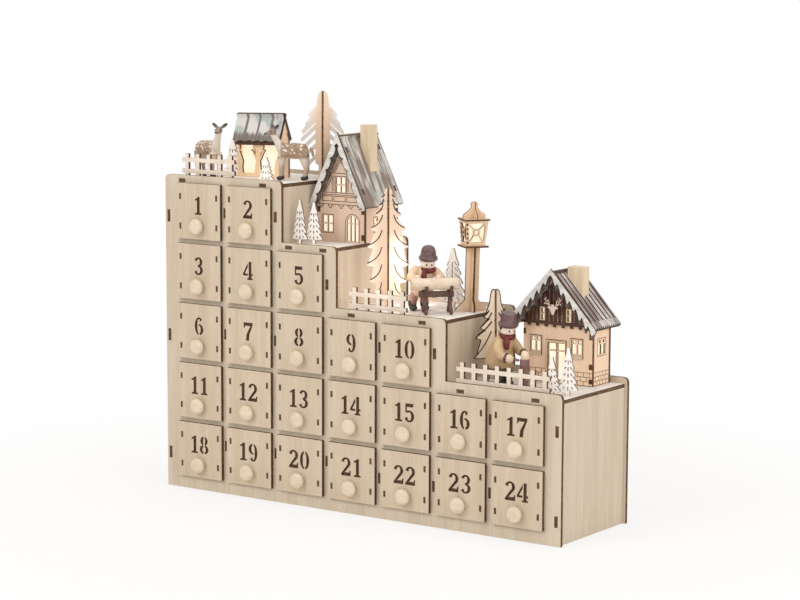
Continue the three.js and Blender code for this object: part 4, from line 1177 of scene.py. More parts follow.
# the beams' edges, the corbels, the panels, the posts, the braces and the frames
tall_scores = []
for z in (31.2, 39.3, 41.0, 54.9, 57.4):
    reach = gable_half_at(z) - 1.4
    tall_scores.append([(-reach, z), (reach, z)])
corbel = [(-2.4, 31.2), (-2.4, 29.9), (-1, 29.9), (-1, 28.2), (1, 28.2), (1, 29.9), (2.4, 29.9), (2.4, 31.2)]
tall_scores += [[(x + dx, z) for dx, z in corbel] for x in (-20, -10.5, 0.5, 10.5, 20)]
panel_reach = gable_half_at(38.4) - 2.4
for x0, x1 in ((-panel_reach, -8.7), (-7.1, 4.7), (6.3, panel_reach)):
    tall_scores.append(closed(x0, x1, 33.8, 38))
tall_scores += [[(x, 42.2), (x, 53.8)] for x in (-8.7, -7.1, 6.3, 7.7)]
tall_scores += [[(x, 54.6), (x, 40.9)] for x in (-5.6, 5.4)]
tall_scores += [[(-15.8, 42.2), (-9.4, 53.6)], [(15.2, 42.2), (9.6, 53.6)]]
for sign in (-1, 1):
    tall_scores.append([(sign * 6.6, 58.2), (-sign * 2.4, 71)])
    tall_scores.append([(sign * 8.2, 58.2), (-sign * 1.2, 72.6)])
    tall_scores.append([(sign * gable_half_at(z) * 0.9 - sign * 0.9, z) for z in (42.3, 76)])
tall_scores.append(closed(-19.5, -7.5, 7, 22.4))
frame_radius = 7.3
frame_arch = [(4.6, 0.6), (4.9, 16.4)]
for k in range(9):
    swing = math.pi * (1 - k / 8)
    arch_x, arch_z = frame_radius * math.cos(swing), frame_radius * math.sin(swing)
    frame_arch.append((door_middle + arch_x, door_spring + arch_z))
tall_scores.append([*frame_arch, (19.5, 16.4), (19.5, 0.6)])
tall_lines = Workpiece()
for line in tall_scores:
    scored(tall_lines, line, fine_line, tall_base)
scored(tall_lines, closed(10.5, 23.3, 8, 21), fine_line, tall_right)
corner_fingers(tall_lines, tall_half, ((24, 29), (2, 7)), 3.0, tall_base)
tall_lines.made("tall_house_scored_lines", scorch_and_painted_shade, slot="birch_plywood")


def lit_paper(name, front_spans, base, side_span, right):
    """Sheets of lit paper between the facing and the inner sheet. A span is [left, right, foot, top]."""
    paper = Workpiece()
    for (x0, x1, z0, z1), place in [*[(span, base) for span in front_spans], (side_span, right)]:
        paper.block((x0, facing, z0), (x1, facing + paper_depth, z1), place)
    paper.made(name, tracing_paper)


tall_paper_spans = ((-20, -6, 6, 23), (5, 20, 0.4, 24), (-6.4, 6.4, 40, 55.5))
lit_paper("tall_house_lit_paper", tall_paper_spans, tall_base, (10.5, 23, 8, 21), tall_right)

tall_roof_finish = brushed_roof(
    "brushed_tall_roof", (colour(122, 108, 99), colour(148, 133, 122)), colour(222, 219, 215),
    colour(196, 206, 202), (26, 420, 26), 0.4, 0.47,
)
tall_roof_front = tall_front - 4.2
tall_under_apex = tall_foot + tall_wall + tall_half * tall_slope + roof_play * 2
tall_apex = tall_under_apex + ply * math.hypot(1, tall_slope)
tall_roof_depth = inner_back - tall_roof_front
tall_roof_shape = (tall_middle, tall_roof_front, tall_apex, tall_eave, tall_slope, tall_roof_depth)
tall_roof = Workpiece()
tall_slots = [(u, v) for u in (0.085, 0.915) for v in (0.21, 0.79)]
house_roof(tall_roof, tall_roof_shape, tall_slots)
tall_roof.made(
    "tall_house_roof_boards", tall_roof_finish, slot="grey_painted_plywood", replaces=["tall_house_roof"]
)
tall_trim = Workpiece()
lobed_board(tall_trim, tall_middle, tall_roof_front - 1.8, tall_apex + 2.3, 29.0, 2.13, 3.9, 6, 2.1, 1.8)
tall_trim.made("tall_house_bargeboard", snow_on_ply, slot="white_painted_plywood")
# painted shade: a dark board just behind the bargeboard, wider and deeper, stands in for the shade that the
# bargeboard casts
tall_shade = Workpiece()
lobed_board(tall_shade, tall_middle, tall_roof_front + 0.1, tall_apex + 0.4, 27.8, 2.09, 5.6, 6, 1.6, 1.6)
# the walls' tab ends, dark in the roof boards' mortises
tall_slope_length = math.hypot(tall_eave, tall_eave * tall_slope)
for sign in (1, -1):
    place = roof_side(*tall_roof_shape, sign)
    for u, v in tall_slots:
        x0, z0 = u * tall_roof_depth, (1 - v) * tall_slope_length
        tall_shade.block((x0 - 1.3, 0.25, z0 - 2.4), (x0 + 1.3, 2.8, z0 + 2.4), place)
# a dark grey-brown mottle, on the ridge strip and the tab ends, and as painted shade on the boards behind the
# bargeboards
dark_stain_and_painted_shade = mottled("dark_grey_stain_and_painted_shade", (120, 300, 120), colour(72, 62, 56), colour(104, 96, 90), 0.6, 0.2)
tall_shade.made("tall_house_shade_board_and_tab_ends", dark_stain_and_painted_shade, slot="grey_painted_plywood")
tall_stack = Workpiece()
stack_offset, stack_width = 4.95, 10.5  # to the right of the ridge
stack_place = from_chest(tall_middle + stack_offset, 71.0, 0)
stack_foot = tall_apex - (stack_offset + stack_width) * tall_slope - 1
tall_stack.block((0, 0, stack_foot), (stack_width, 10, tall_apex + 7.5), stack_place, across=1)
ridge = from_chest(tall_middle, tall_roof_front, tall_apex)
tall_stack.block((-1.9, 0.4, -2.2), (0.5, tall_roof_depth - 0.2, 0.25), ridge)
chimney_light, chimney_dark = colour(232, 214, 186), colour(216, 196, 164)


def plain_edges(recipe):
    """No scorched edges: the chimney's board is drawn in its thickness."""
    return edge_by_mark(recipe) * 0.0


chimney_ply = plywood("birch_chimney", plain_edges, light=chimney_light, dark=chimney_dark)
tall_stack.made("tall_house_chimney", chimney_ply, slot="birch_plywood")

# Cottage
# The wide cottage on the lowest terrace: a brick plinth, leaded windows and a door in pale frames, a dark
# boarded gable with a deer's head, icicle bargeboards, a ribbed roof and a plain chimney.
cottage_middle, cottage_front, cottage_foot = 350.7, 71.0, terrace_tops[3] + seat_gap
cottage_half, cottage_wall, cottage_slope, cottage_depth, cottage_eave = 32.3, 50.9, 1.09, 29.0, 39.0
# The walls' warm tint and faint glow are painted light of the bulbs inside, over the birch's own colour
cottage_light, cottage_dark = colour(240, 210, 184), colour(228, 197, 170)
cottage_ply_painted_glow = plywood("birch_cottage_painted_glow", edge_by_mark, light=cottage_light, dark=cottage_dark, lit=0.1)
window_middles = (-20.8, 17.7)
loft_middles = (-13.3, 11.3)
round_pane = 1.35
cottage_holes = []
for middle in window_middles:
    for sign in (-1, 1):
        x0 = middle + sign * 2.6
        cottage_holes.append(rectangle(x0 - 1.9, x0 + 1.9, 25, 33))
        ring = []
        for k in range(10):
            swing = 2 * math.pi * k / 10
            ring.append((x0 + round_pane * math.cos(swing), 34.9 + round_pane * math.sin(swing)))
        cottage_holes.append(ring)
for middle in loft_middles:
    cottage_holes += panes([(middle - 1.6, middle + 1.6)], ((51, 55.4), (56.3, 60.5)))
for x0, x1 in ((-9.0, -1.6), (-0.4, 7.0)):
    cottage_holes += panes([(x0 + 0.6, x1 - 0.2)], ((3, 25.6), (27, 32.3)))
cottage_side = []
for x0, x1 in ((6.2, 10.6), (12.0, 16.4)):
    cottage_side.append(rectangle(x0, x1, 25, 33))
    cottage_side.append(rectangle(x0 + 0.9, x1 - 0.9, 34.2, 36.6))
cottage_base, cottage_right = trimmed_house(
    "cottage_walls", cottage_ply_painted_glow, cottage_middle, cottage_front, cottage_foot, cottage_half, cottage_wall,
    cottage_slope, cottage_depth, cottage_holes, cottage_side,
)
frame_sheet = 0.8
on_front = cottage_base @ moved_by(0, -frame_sheet, 0)
cottage_frames = Workpiece()
for middle in window_middles:
    outer = rectangle(middle - 5.8, middle + 5.8, 22.6, 37.3)
    inner = rectangle(middle - 4.8, middle + 4.8, 24.0, 36.6)
    cottage_frames.board([outer, inner], frame_sheet, on_front)
    cottage_frames.block((middle - 6.2, -1.4, 21.8), (middle + 6.2, 0, 23.0), cottage_base, across=1)
door_outer = rectangle(-10.6, 7.8, 0.2, 34.6)
door_inner = rectangle(-9.1, 7.1, 1.6, 32.9)
cottage_frames.board([door_outer, door_inner], frame_sheet, on_front)
cottage_frames.made("cottage_frames", cream_ply, slot="birch_plywood")
cottage_lines = Workpiece()
for span in ((-26.8, -14.8, 22.2, 37.6), (11.7, 23.7, 22.2, 37.6), (-10.9, 8.1, 0.3, 34.9)):
    scored(cottage_lines, closed(*span), 0.5, cottage_base)
for x0, x1 in ((-9.0, -1.4), (-0.6, 7.0)):
    scored(cottage_lines, closed(x0 + 0.1, x1, 2.6, 32.6), 0.35, cottage_base)
scored(cottage_lines, closed(5.0, 17.6, 23.6, 37.8), 0.5, cottage_right)
# bricks, in three rows that break joint, on the front and round the corner
brick_rows = 3
brick_height = 3.5
brick_length, side_brick_length = 5.6, 4.6
joint = 0.4
for row in range(brick_rows + 1):
    z = 0.3 + row * brick_height
    scored(cottage_lines, [(-cottage_half + 0.3, z), (-11.2, z)], joint, cottage_base)
    scored(cottage_lines, [(8.4, z), (cottage_half - 0.3, z)], joint, cottage_base)
    scored(cottage_lines, [(0.2, z), (22.6, z)], joint, cottage_right)
    if row == brick_rows:
        break
    for k in range(12):
        x = -cottage_half + 0.6 + (k + (0.5 if row % 2 else 0)) * brick_length
        if x < -11.6 or 8.8 < x < cottage_half - 0.5:
            scored(cottage_lines, [(x, z), (x, z + brick_height)], joint, cottage_base)
        if 0 < k < 5:
            x = k * side_brick_length - (side_brick_length / 2 if row % 2 else 0)
            scored(cottage_lines, [(x, z), (x, z + brick_height)], joint, cottage_right)
corner_fingers(cottage_lines, cottage_half, ((37.6, 42.3), (13.5, 18.0), (2.0, 6.0)), 2.2, cottage_base)
cottage_lines.made("cottage_scored_lines", scorch_and_painted_shade, slot="birch_plywood")
cottage_paper_spans = ((-28, 26, 22, 38), (-10, 8, 1, 34), (-17, 15, 50, 62))
lit_paper("cottage_lit_paper", cottage_paper_spans, cottage_base, (4, 18, 23, 38), cottage_right)

brown_dark, brown_light = colour(62, 36, 27), colour(96, 62, 47)
brown_boards = mottled("dark_brown_gable_boards", (900, 300, 60), brown_dark, brown_light, 0.55, 0.2)
gable_board = Workpiece()
gable_battens = Workpiece()
gable_z = 48.3
gable_top = cottage_wall + cottage_half * cottage_slope
gable_reach = cottage_half + 0.6
gable_shape = [
    (-gable_reach, gable_z), (gable_reach, gable_z), (gable_reach, cottage_wall), (0, gable_top + 0.2),
    (-gable_reach, cottage_wall),
]
loft_rings = [rectangle(middle - 2.4, middle + 2.4, 50.4, 61.2) for middle in loft_middles]
gable_board.board([gable_shape, *loft_rings], 1.5, cottage_base @ moved_by(0, -1.6, 0))
sill_low = (-cottage_half - 0.8, -2.6, gable_z - 0.8)
gable_board.block(sill_low, (cottage_half + 0.8, -0.1, gable_z + 1.2), cottage_base, across=1)
batten_half = 0.45
batten_pitch = 3.9
for k in range(17):
    x = -cottage_half + 2 + k * batten_pitch
    top = gable_top - abs(x) * cottage_slope - 1.2
    over_loft = any(abs(x - middle) < 3.3 for middle in loft_middles)
    if top > gable_z + 3:
        batten_low = (x - batten_half, -2.1, 62 if over_loft else gable_z + 1)
        batten_high = (x + batten_half, -1.5, max(top, 62.5 if over_loft else 0))
        gable_battens.block(batten_low, batten_high, cottage_base)
gable_board.made("cottage_gable_boards", brown_boards, slot="birch_plywood")
# The battens are lighter than the boards between them: a painted highlight on the raised battens
batten_painted_highlight_dark, batten_painted_highlight_light = colour(92, 66, 54), colour(160, 130, 116)
batten_painted_highlight_finish = mottled(
    "brown_battens_painted_highlight", (300, 300, 90), batten_painted_highlight_dark, batten_painted_highlight_light, 0.6, 0.15, span=(0.35, 0.65)
)
gable_battens.made("cottage_gable_battens", batten_painted_highlight_finish, slot="birch_plywood")
loft_frames = Workpiece()
for middle in loft_middles:
    outer = rectangle(middle - 2.5, middle + 2.5, 50.3, 61.4)
    inner = rectangle(middle - 1.5, middle + 1.5, 51.1, 60.4)
    loft_frames.board([outer, inner], 0.6, cottage_base @ moved_by(0, -2.2, 0))
    loft_frames.block((middle - 1.6, -2.1, 55.4), (middle + 1.6, -1.7, 56.2), cottage_base)
loft_frames.made("cottage_loft_frames", cream_ply, slot="birch_plywood")


def equal_slabs(name, finish, rise):
    """A pattern of equal slabs in a row along X. Rise lifts each one by a share of its length."""
    pattern = Pattern(name)
    width, length, depth, pitch = pattern.inputs("Width", "Length", "Depth", "Pitch")
    [count] = pattern.inputs("Count", kind="NodeSocketInt")
    one = pattern.slab((width, depth, length), (0.0, 0.0, length * rise), (0, 1, 0))
    pattern.ends_in([pattern.row(one, count, (pitch, 0.0, 0.0))], finish)
    return pattern


dentils = equal_slabs("gable_dentils", brown_boards, 0.0)
dentil_place = cottage_base @ moved_by(-26.5, -1.0, 46.4)
dentil_sizes = {"Width": 2.2, "Length": 2.0, "Depth": 1.6, "Pitch": 8.0, "Count": 8}
settle(dentils.cast("cottage_dentils", dentil_place, **dentil_sizes), "chest")

cottage_roof_finish = brushed_roof(
    "brushed_cottage_roof", (colour(134, 119, 111), colour(160, 146, 138)), colour(224, 218, 216),
    colour(206, 204, 204), (26, 420, 26), 0.34, 0.47,
)
cottage_roof_front = cottage_front - 11.0
cottage_under_apex = cottage_foot + cottage_wall + cottage_half * cottage_slope + roof_play * 2
cottage_apex = cottage_under_apex + ply * math.hypot(1, cottage_slope)
cottage_roof_depth = body_depth - cottage_roof_front
cottage_roof_shape = (
    cottage_middle, cottage_roof_front, cottage_apex, cottage_eave, cottage_slope, cottage_roof_depth,
)
cottage_roof = Workpiece()
house_roof(cottage_roof, cottage_roof_shape)
cottage_roof.made(
    "cottage_roof_boards", cottage_roof_finish, slot="grey_painted_plywood", replaces=["cottage_roof"]
)
ribs = equal_slabs("roof_ribs", cottage_roof_finish, 0.5)
teeth = equal_slabs("eave_teeth", cottage_roof_finish, -0.5)
rib_length = math.hypot(cottage_eave, cottage_eave * cottage_slope) - 9
rib_sizes = {"Width": 1.5, "Length": rib_length, "Depth": 1.3, "Pitch": 6.1, "Count": 7}
tooth_sizes = {"Width": 1.7, "Length": 1.4, "Depth": 3.0, "Pitch": 3.2, "Count": 14}
for sign, side_name in ((1, "right"), (-1, "left")):
    place = roof_side(*cottage_roof_shape, sign)
    rib_place = place @ moved_by(4.2, -0.4, 6.0)
    rib_row = ribs.cast("cottage_roof_ribs_" + side_name, rib_place, **rib_sizes)
    settle(rib_row, "chest")
    tooth_place = place @ moved_by(1.2, 1.5, 0.1)
    tooth_row = teeth.cast("cottage_eave_teeth_" + side_name, tooth_place, **tooth_sizes)
    settle(tooth_row, "chest")


def icicle_board(work, middle, y, apex, half, slope, width, teeth_count, drop, thickness):
    """A bargeboard with pointed icicles of uneven length hanging upright from its lower edge."""
    rise_of_end = apex - half * slope
    vertical = width * math.hypot(1, slope)
    side = [
        (half, rise_of_end), (half + 0.9, rise_of_end - vertical * 0.45),
        (half - 0.6, rise_of_end - vertical * 0.95),
    ]
    pitch = (half - 1.5) / teeth_count
    for k in range(teeth_count):
        x1 = half - 0.9 - k * pitch
        long = drop * (1.0 if k % 3 else 0.76)
        for share, depth in ((0.0, 0.0), (0.16, 0.62), (0.30, 1.0), (0.42, 0.94), (0.62, 0.3), (0.84, 0.0)):
            x = x1 - pitch * share
            side.append((x, apex - x * slope - vertical - long * depth))
    side = [(x, z) for x, z in side if x > 0.4]
    ring = [(0.0, apex), *mirrored(side, [(0.0, apex - vertical - 0.5)])]
    work.board([ring], thickness, from_chest(middle, y, 0))


cottage_trim = Workpiece()
trim_front, trim_apex = cottage_roof_front - 1.8, cottage_apex + 2.9
icicle_board(cottage_trim, cottage_middle, trim_front, trim_apex, 41.7, cottage_slope, 3.3, 7, 4.6, 1.8)
cottage_trim.made("cottage_bargeboard", snow_on_ply, slot="white_painted_plywood")
# painted shade: a dark board behind the icicle bargeboard, with longer icicles, gives the white icicles a dark
# outline of shade
cottage_shade = Workpiece()
shade_front, shade_apex = cottage_roof_front + 0.1, cottage_apex + 1.2
icicle_board(cottage_shade, cottage_middle, shade_front, shade_apex, 40.2, cottage_slope, 4.6, 7, 6.2, 1.6)
cottage_shade.made("cottage_shade_board", dark_stain_and_painted_shade, slot="grey_painted_plywood")

pale_ply = plywood("pale_birch", edge_by_mark, light=colour(236, 218, 204), dark=colour(226, 204, 188))
deer_head = Workpiece()
deer_place = from_chest(cottage_middle - 0.6, cottage_front - 7.5, 178.2) @ Matrix.Scale(0.86, 4)
deer_head.block((-1.5, 1.5, -3), (1.5, 6.6, 0), deer_place)
cheek = [(1.5, -7.4), (2.3, -4.6), (3.4, -2.6), (5.8, -1.9), (5.2, -0.6), (3.2, -0.2), (2.6, 1.2)]
deer_head.board([[(0.0, -8.2), *mirrored(cheek, [(0, 1.6)])]], 1.5, deer_place)
antler = [(1.6, 0.4), (4.4, 1.2), (7.0, 2.6), (7.9, 5.2), (7.2, 8.2)]
antler_tips = ((4.2, 1.2, 0.2, 4.6), (7.4, 3.4, -2.2, 2.6), (7.0, 2.6, 2.6, -0.8), (7.8, 5.0, 1.4, 2.2))
for sign in (-1, 1):
    beam = [(sign * x, z) for x, z in antler]
    deer_head.board([ribbon(beam, [1.5, 1.4, 1.3, 1.1, 0.7])], 1.5, deer_place)
    for x, z, dx, dz in antler_tips:
        tine = [(sign * x, z), (sign * (x + dx * 0.6), z + dz * 0.55), (sign * (x + dx), z + dz)]
        deer_head.board([ribbon(tine, [1.1, 1.0, 0.5])], 1.48, deer_place)
deer_head.made("cottage_deer_head", pale_ply, slot="birch_plywood")
cottage_stack = Workpiece()
stack_offset, stack_width = 5.0, 14
stack_place = from_chest(cottage_middle + stack_offset, 76.8, 0)
stack_foot = cottage_apex - (stack_offset + stack_width) * cottage_slope - 1
cottage_stack.block((0, 0, stack_foot), (stack_width, 10, cottage_apex + 3.3), stack_place, across=1)
cottage_stack.made("cottage_chimney", chimney_ply, slot="birch_plywood")
cottage_ridge = Workpiece()
ridge = from_chest(cottage_middle, cottage_roof_front, cottage_apex)
cottage_ridge.block((-1.6, 0.4, -1.4), (0.9, cottage_roof_depth - 0.2, 0.5), ridge)
cottage_ridge.made("cottage_ridge_strip", dark_stain_and_painted_shade, slot="grey_painted_plywood")

# Conifers
# Three conifers of two crossed sheets stand among the houses. Two have sharp tips with a curved slit sawn above
# each, the one on the top terrace has straight round fingers, and white is dabbed over the branches.


def frosted_wood(name, x, y, light, dark, frost, start, end):
    """Veneer under white dabs that begin between start and end, in metres from the tree's middle at [x, y]."""
    material, recipe, shader = new_finish(name)
    face, streak, pore = veneer(recipe, light=light, dark=dark)
    dabs = recipe.noise(recipe.place((110, 110, 110)), detail=3.0, roughness=0.6)
    middle = from_chest(x, y, 0).translation
    from_middle = recipe.vector_sum("ADD", recipe.place(), (-middle.x, -middle.y, 0.0))
    flattened = recipe.vector_sum("MULTIPLY", from_middle, (1.0, 1.0, 0.0))
    out = recipe.vector_sum("LENGTH", flattened, out=1)
    frosted = recipe.stepped(out + (dabs - 0.5) * (end - start), start, end)
    look = recipe.mixed(frosted, face, frost)
    look = recipe.mixed(edge_by_mark(recipe), look, edge_burn(recipe))
    rough = 0.6 + frosted * 0.15
    feed(recipe, shader, {"Base Color": look, "Roughness": rough, "Normal": relief(recipe, dabs, 0.3)})
    return material


def bowed(start, end, bulge, steps=6):
    """A line from start to end that bows to its left by a share of its length."""
    (x0, z0), (x1, z1) = start, end
    length = math.hypot(x1 - x0, z1 - z0)
    across = (-(z1 - z0) / length, (x1 - x0) / length)
    line = []
    for k in range(steps + 1):
        share = k / steps
        bow = bulge * length * 4 * share * (1 - share)
        line.append((x0 + (x1 - x0) * share + across[0] * bow, z0 + (z1 - z0) * share + across[1] * bow))
    return line


def slit_side(trunk, branches, top, bow, slit):
    """Right half of an outline, from the foot up. Each branch is its tip and the root of the slit above it."""
    side = [(trunk, 0), (trunk * 0.93, branches[0][1] + 0.5)]
    for k, (tip_x, tip_z, root_x, root_z) in enumerate(branches):
        if k == 0:
            side.append((tip_x - 5.0, tip_z - 0.3))
        side.append((tip_x, tip_z))
        side += bowed((root_x, root_z), (tip_x - 0.9, tip_z + 1.0), bow)[::-1]
        side += bowed((root_x + slit * 0.3, root_z + slit), (tip_x - 2.0, tip_z + 2.0 + slit), bow)
        if k + 1 < len(branches):
            above_x, above_z = branches[k + 1][:2]
            side.append((min(above_x - 4.4, tip_x - 3.4), above_z - 1.6))
    return side + list(top)


def finger_side(trunk, tips, top, body, thick):
    """Right half of an outline whose branches are straight fingers that droop from the body to their tips."""
    side = [(trunk, 0), (trunk, tips[0][1] + 1.0), (body, tips[0][1] + 2.5)]
    for tip_x, tip_z in tips:
        root_z = tip_z + (tip_x - body) * 0.84
        side.append((body, root_z - thick * 0.75))
        for back, up in ((-0.7, -0.5), (-0.2, -0.55), (0.0, -0.15), (-0.1, 0.3)):
            side.append((tip_x + thick * back, tip_z + thick * up))
        side.append((body, root_z + thick * 0.75))
    return side + list(top)


top_tree_side = finger_side(
    3.6,
    [(16.0, 9.5), (17.6, 17.5), (18.6, 25.0), (19.0, 32.5), (18.0, 39.0), (15.2, 45.8), (12.4, 53.2)],
    [(6.2, 58.5), (5.2, 63.5), (4.8, 67.5), (4.2, 70.5), (3.0, 72.8), (1.4, 73.8)], 6.3, 3.0,
)
tall_branches = [
    (13.0, 9.5, 5.6, 21.5), (15.5, 22.8, 5.4, 36.5), (17.9, 36.5, 5.3, 51.0), (17.2, 51.5, 5.2, 65.0),
    (14.6, 66.0, 4.8, 77.5), (11.0, 77.5, 4.4, 87.0), (8.4, 84.5, 3.8, 91.0), (6.2, 91.2, 3.2, 94.6),
]
tall_bow = -0.14
tall_tree_side = slit_side(
    3.6, tall_branches, [(3.4, 95.4), (3.1, 98.0), (2.1, 99.4), (0.9, 100.0)], tall_bow, 0.4,
)
low_tree_side = slit_side(
    4.2, [(17.0, 16.8, 3.2, 38.4), (15.9, 33.4, 3.0, 46.5), (12.4, 41.4, 3.0, 53.7), (9.4, 50.6, 5.2, 55.6)],
    [(6.6, 57.0), (4.7, 62.0), (3.9, 69.0), (3.0, 72.2), (1.5, 73.4)], -0.04, 0.5,
)
pale_pink_wood = (colour(250, 230, 210), colour(241, 217, 194))
cream_wood = (colour(252, 238, 220), colour(244, 228, 206))
white_frost = colour(240, 234, 228)
conifers = (
    ("tree_top_terrace", 0, 108.3, 80.0, top_tree_side, pale_pink_wood, 0.005, 0.010),
    ("tree_tall", 2, 205.4, 40.0, tall_tree_side, pale_pink_wood, 0.009, 0.017),
    ("tree_low_terrace", 3, 298.5, 59.0, low_tree_side, cream_wood, 0.012, 0.022),
)
tree_turn = 36
first_sheet, second_sheet = 2.0, 1.7
for name, level, x, y, side, (light, dark), start, end in conifers:
    finish = frosted_wood(name + "_wood", x, y, light, dark, white_frost, start, end)
    tree = Workpiece()
    for turn, sheet in ((tree_turn, first_sheet), (tree_turn + 90, second_sheet)):
        place = from_chest(x, y, terrace_tops[level] + seat_gap, turn)
        tree.board([mirrored(side)], sheet, place @ moved_by(0, -sheet / 2, 0))
    tree.made(name, finish, slot="whitewashed_plywood", replaces=[name])
    if name == "tree_top_terrace":
        continue
    # the laser's soot along the slits, and all along the edges of the low tree
    soot_lines = Workpiece()
    on_face = moved_by(0, -first_sheet / 2, 0)
    for facing_turn in (tree_turn, tree_turn + 180):
        face = from_chest(x, y, terrace_tops[level] + seat_gap, facing_turn) @ on_face
        for sign in (-1, 1):
            if name == "tree_low_terrace":
                scored(soot_lines, [(sign * x0 * 0.985, z0) for x0, z0 in side], 0.75, face)
                continue
            for tip_x, tip_z, root_x, root_z in tall_branches:
                line = bowed((root_x, root_z + 0.2), (tip_x - 1.4, tip_z + 1.7), tall_bow)
                scored(soot_lines, [(sign * x0, z0) for x0, z0 in line], 0.9, face)
    soot_lines.made(name + "_soot", scorch_and_painted_shade, slot="whitewashed_plywood")

# Fences
# Three picket fences stand at the terraces' front edges. Each is one flat board with two rails, sawn out and
# whitewashed, with dark edges.
fence_finish = white_paint("whitewashed_fence", edge_by_mark, colour(240, 230, 217), colour(226, 212, 194))
fence = Pattern("picket_fence")
wide, tall, pitch, board, length = fence.inputs("Picket width", "Picket height", "Pitch", "Board", "Length")
rail_height, low_rail, high_rail, left_end = fence.inputs("Rail height", "Low rail", "High rail", "Left end")
[picket_count] = fence.inputs("Pickets", kind="NodeSocketInt")
one_picket = fence.slab((wide, board, tall), (wide * 0.5, board * 0.5, tall * 0.5), (0, 1, 0))
pickets = fence.row(one_picket, picket_count, (pitch, 0.0, 0.0))
rail_middle = length * 0.5 - left_end
rails = []
for level in (low_rail, high_rail):
    middle = (rail_middle, board * 0.5, level + rail_height * 0.5)
    rails.append(fence.slab((length, board - 0.08, rail_height), middle, (0, 1, 0)))
fence.ends_in([pickets, *rails], fence_finish)
picket_width = 3.7
rail_ends = (3.5, 2.6)  # rails past the first and the last picket
fence_setback = 1.2  # fence behind the front panel
fence_sizes = {
    "Picket width": picket_width, "Picket height": 21.0, "Board": 2.5, "Rail height": 3.6, "Low rail": 4.3,
    "High rail": 13.8, "Left end": rail_ends[0],
}
fences = (
    ("fence_top_terrace", 0, 18.7, 5, 11.8), ("fence_middle_terrace", 2, 195.2, 5, 11.8),
    ("fence_low_terrace", 3, 300.9, 8, 11.0),
)
for name, level, left, count, pitch in fences:
    length = (count - 1) * pitch + picket_width + rail_ends[0] + rail_ends[1]
    sizes = {**fence_sizes, "Pitch": pitch, "Pickets": count, "Length": length}
    place = from_chest(left, ply + fence_setback, terrace_tops[level] + seat_gap)
    settle(fence.cast(name + "_board", place, **sizes), "chest", [name])

# Street lamp
# The lamp's post is two crossed sheets with a flared foot. A thin tray carries the tapered lantern, whose four
# panes are sawn as a cross with a ring over lit paper, and a roof plate carries a bell of crossed sheets.
lamp_ply = plywood("birch_lamp", edge_by_mark, light=colour(234, 208, 180), dark=colour(220, 192, 162))
lean = 0.031
lamp_turn = 51.0
upright = from_chest(268.0, 69.5, terrace_tops[2] + seat_gap)
shear = Matrix.Identity(4)
shear[0][2] = lean
lamp_base = upright @ shear @ turned_by(lamp_turn)
post_half, foot_half, post_height, lantern_height = 5.7, 14.2, 53.6, 20.3
street_lamp = Workpiece()
post_side = [
    (foot_half, 0), (foot_half, 1.0), (foot_half * 0.8, 4.2), (post_half + 2.3, 7.2), (post_half, 9.8),
    (post_half, post_height),
]
for turn, reach, sheet in ((0, foot_half, 2.2), (90, 9.5, 1.7)):
    ring = mirrored([(min(x, reach), z) for x, z in post_side])
    place = lamp_base @ turned_by(turn) @ moved_by(0, -sheet / 2, 0)
    street_lamp.board([ring], sheet, place)
tray_half, roof_half = 10.2, 10.6
tray_low = (-tray_half, -tray_half, post_height - 0.2)
street_lamp.block(tray_low, (tray_half, tray_half, post_height + 1.3), lamp_base, across=2)
lantern_foot = post_height + 1.5
lantern_top = lantern_foot + lantern_height
pane_low, pane_high = 7.7, 9.5
slant = math.atan((pane_high - pane_low) / lantern_height)
pane_places = [
    lamp_base @ turned_by(90 * quarter) @ moved_by(0, -pane_low, lantern_foot) @ Matrix.Rotation(slant, 4, "X")
    for quarter in range(4)
]
high = lantern_height / math.cos(slant)
outer = [(-pane_low, 0), (pane_low, 0), (pane_high, high), (-pane_high, high)]
ring_middle = high * 0.52
ring_half = 2.5
hole = ring_half - 0.75
opening_share = 0.84  # of the field between the bars' middles
frame_low, frame_high = 1.9, high - 1.7
inner_low, inner_high = pane_low - 1.5, pane_high - 1.9
corners = [(-inner_low, frame_low), (inner_low, frame_low), (inner_high, frame_high), (-inner_high, frame_high)]
ring_corners = rectangle(-ring_half, ring_half, ring_middle - ring_half, ring_middle + ring_half)
pane_rings = [outer]
for k in range(4):
    after = (k + 1) % 4
    quad = [corners[k], corners[after], ring_corners[after], ring_corners[k]]
    mid = (sum(p[0] for p in quad) / 4, sum(p[1] for p in quad) / 4)
    pane_rings.append([
        (mid[0] + (p[0] - mid[0]) * opening_share, mid[1] + (p[1] - mid[1]) * opening_share) for p in quad
    ])
eighths = [math.pi * k / 4 for k in range(8)]
pane_rings.append([(hole * math.cos(swing), ring_middle + hole * math.sin(swing)) for swing in eighths])
for face_place in pane_places:
    street_lamp.board(pane_rings, 1.5, face_place)
    # the neighbour's finger ends, dark at the corner
    for k in range(5):
        z = 1.5 + k * (high - 3) / 4.6
        x = pane_low + (pane_high - pane_low) * (z + 1) / high
        street_lamp.block((x - 1.3, -0.08, z), (x + 0.08, 1.5, z + 1.9), face_place, across=1)
roof_low = (-roof_half, -roof_half, lantern_top)
street_lamp.block(roof_low, (roof_half, roof_half, lantern_top + 1.4), lamp_base, across=2)
bell = [
    (9.6, 0), (9.5, 2.2), (8.6, 3.6), (5.8, 5.4), (3.4, 7.6), (2.5, 9.3), (2.9, 10.6), (2.9, 12.0), (2.0, 13.1),
    (0.7, 13.4),
]
for turn, thickness in ((0, thin_ply), (90, 0.7)):
    place = lamp_base @ moved_by(0, 0, lantern_top + 1.6) @ turned_by(turn)
    street_lamp.board([mirrored(bell)], thickness, place @ moved_by(0, -thickness / 2, 0))
street_lamp.made("street_lamp_sheets", lamp_ply, slot="birch_plywood", replaces=["street_lamp"])
lantern_paper = Workpiece()
for face_place in pane_places:
    lantern_paper.block((-pane_low + 1.8, 1.7, 0.6), (pane_low - 1.6, 1.9, lantern_height - 0.6), face_place)
lantern_paper.made("lantern_lit_paper", tracing_paper)

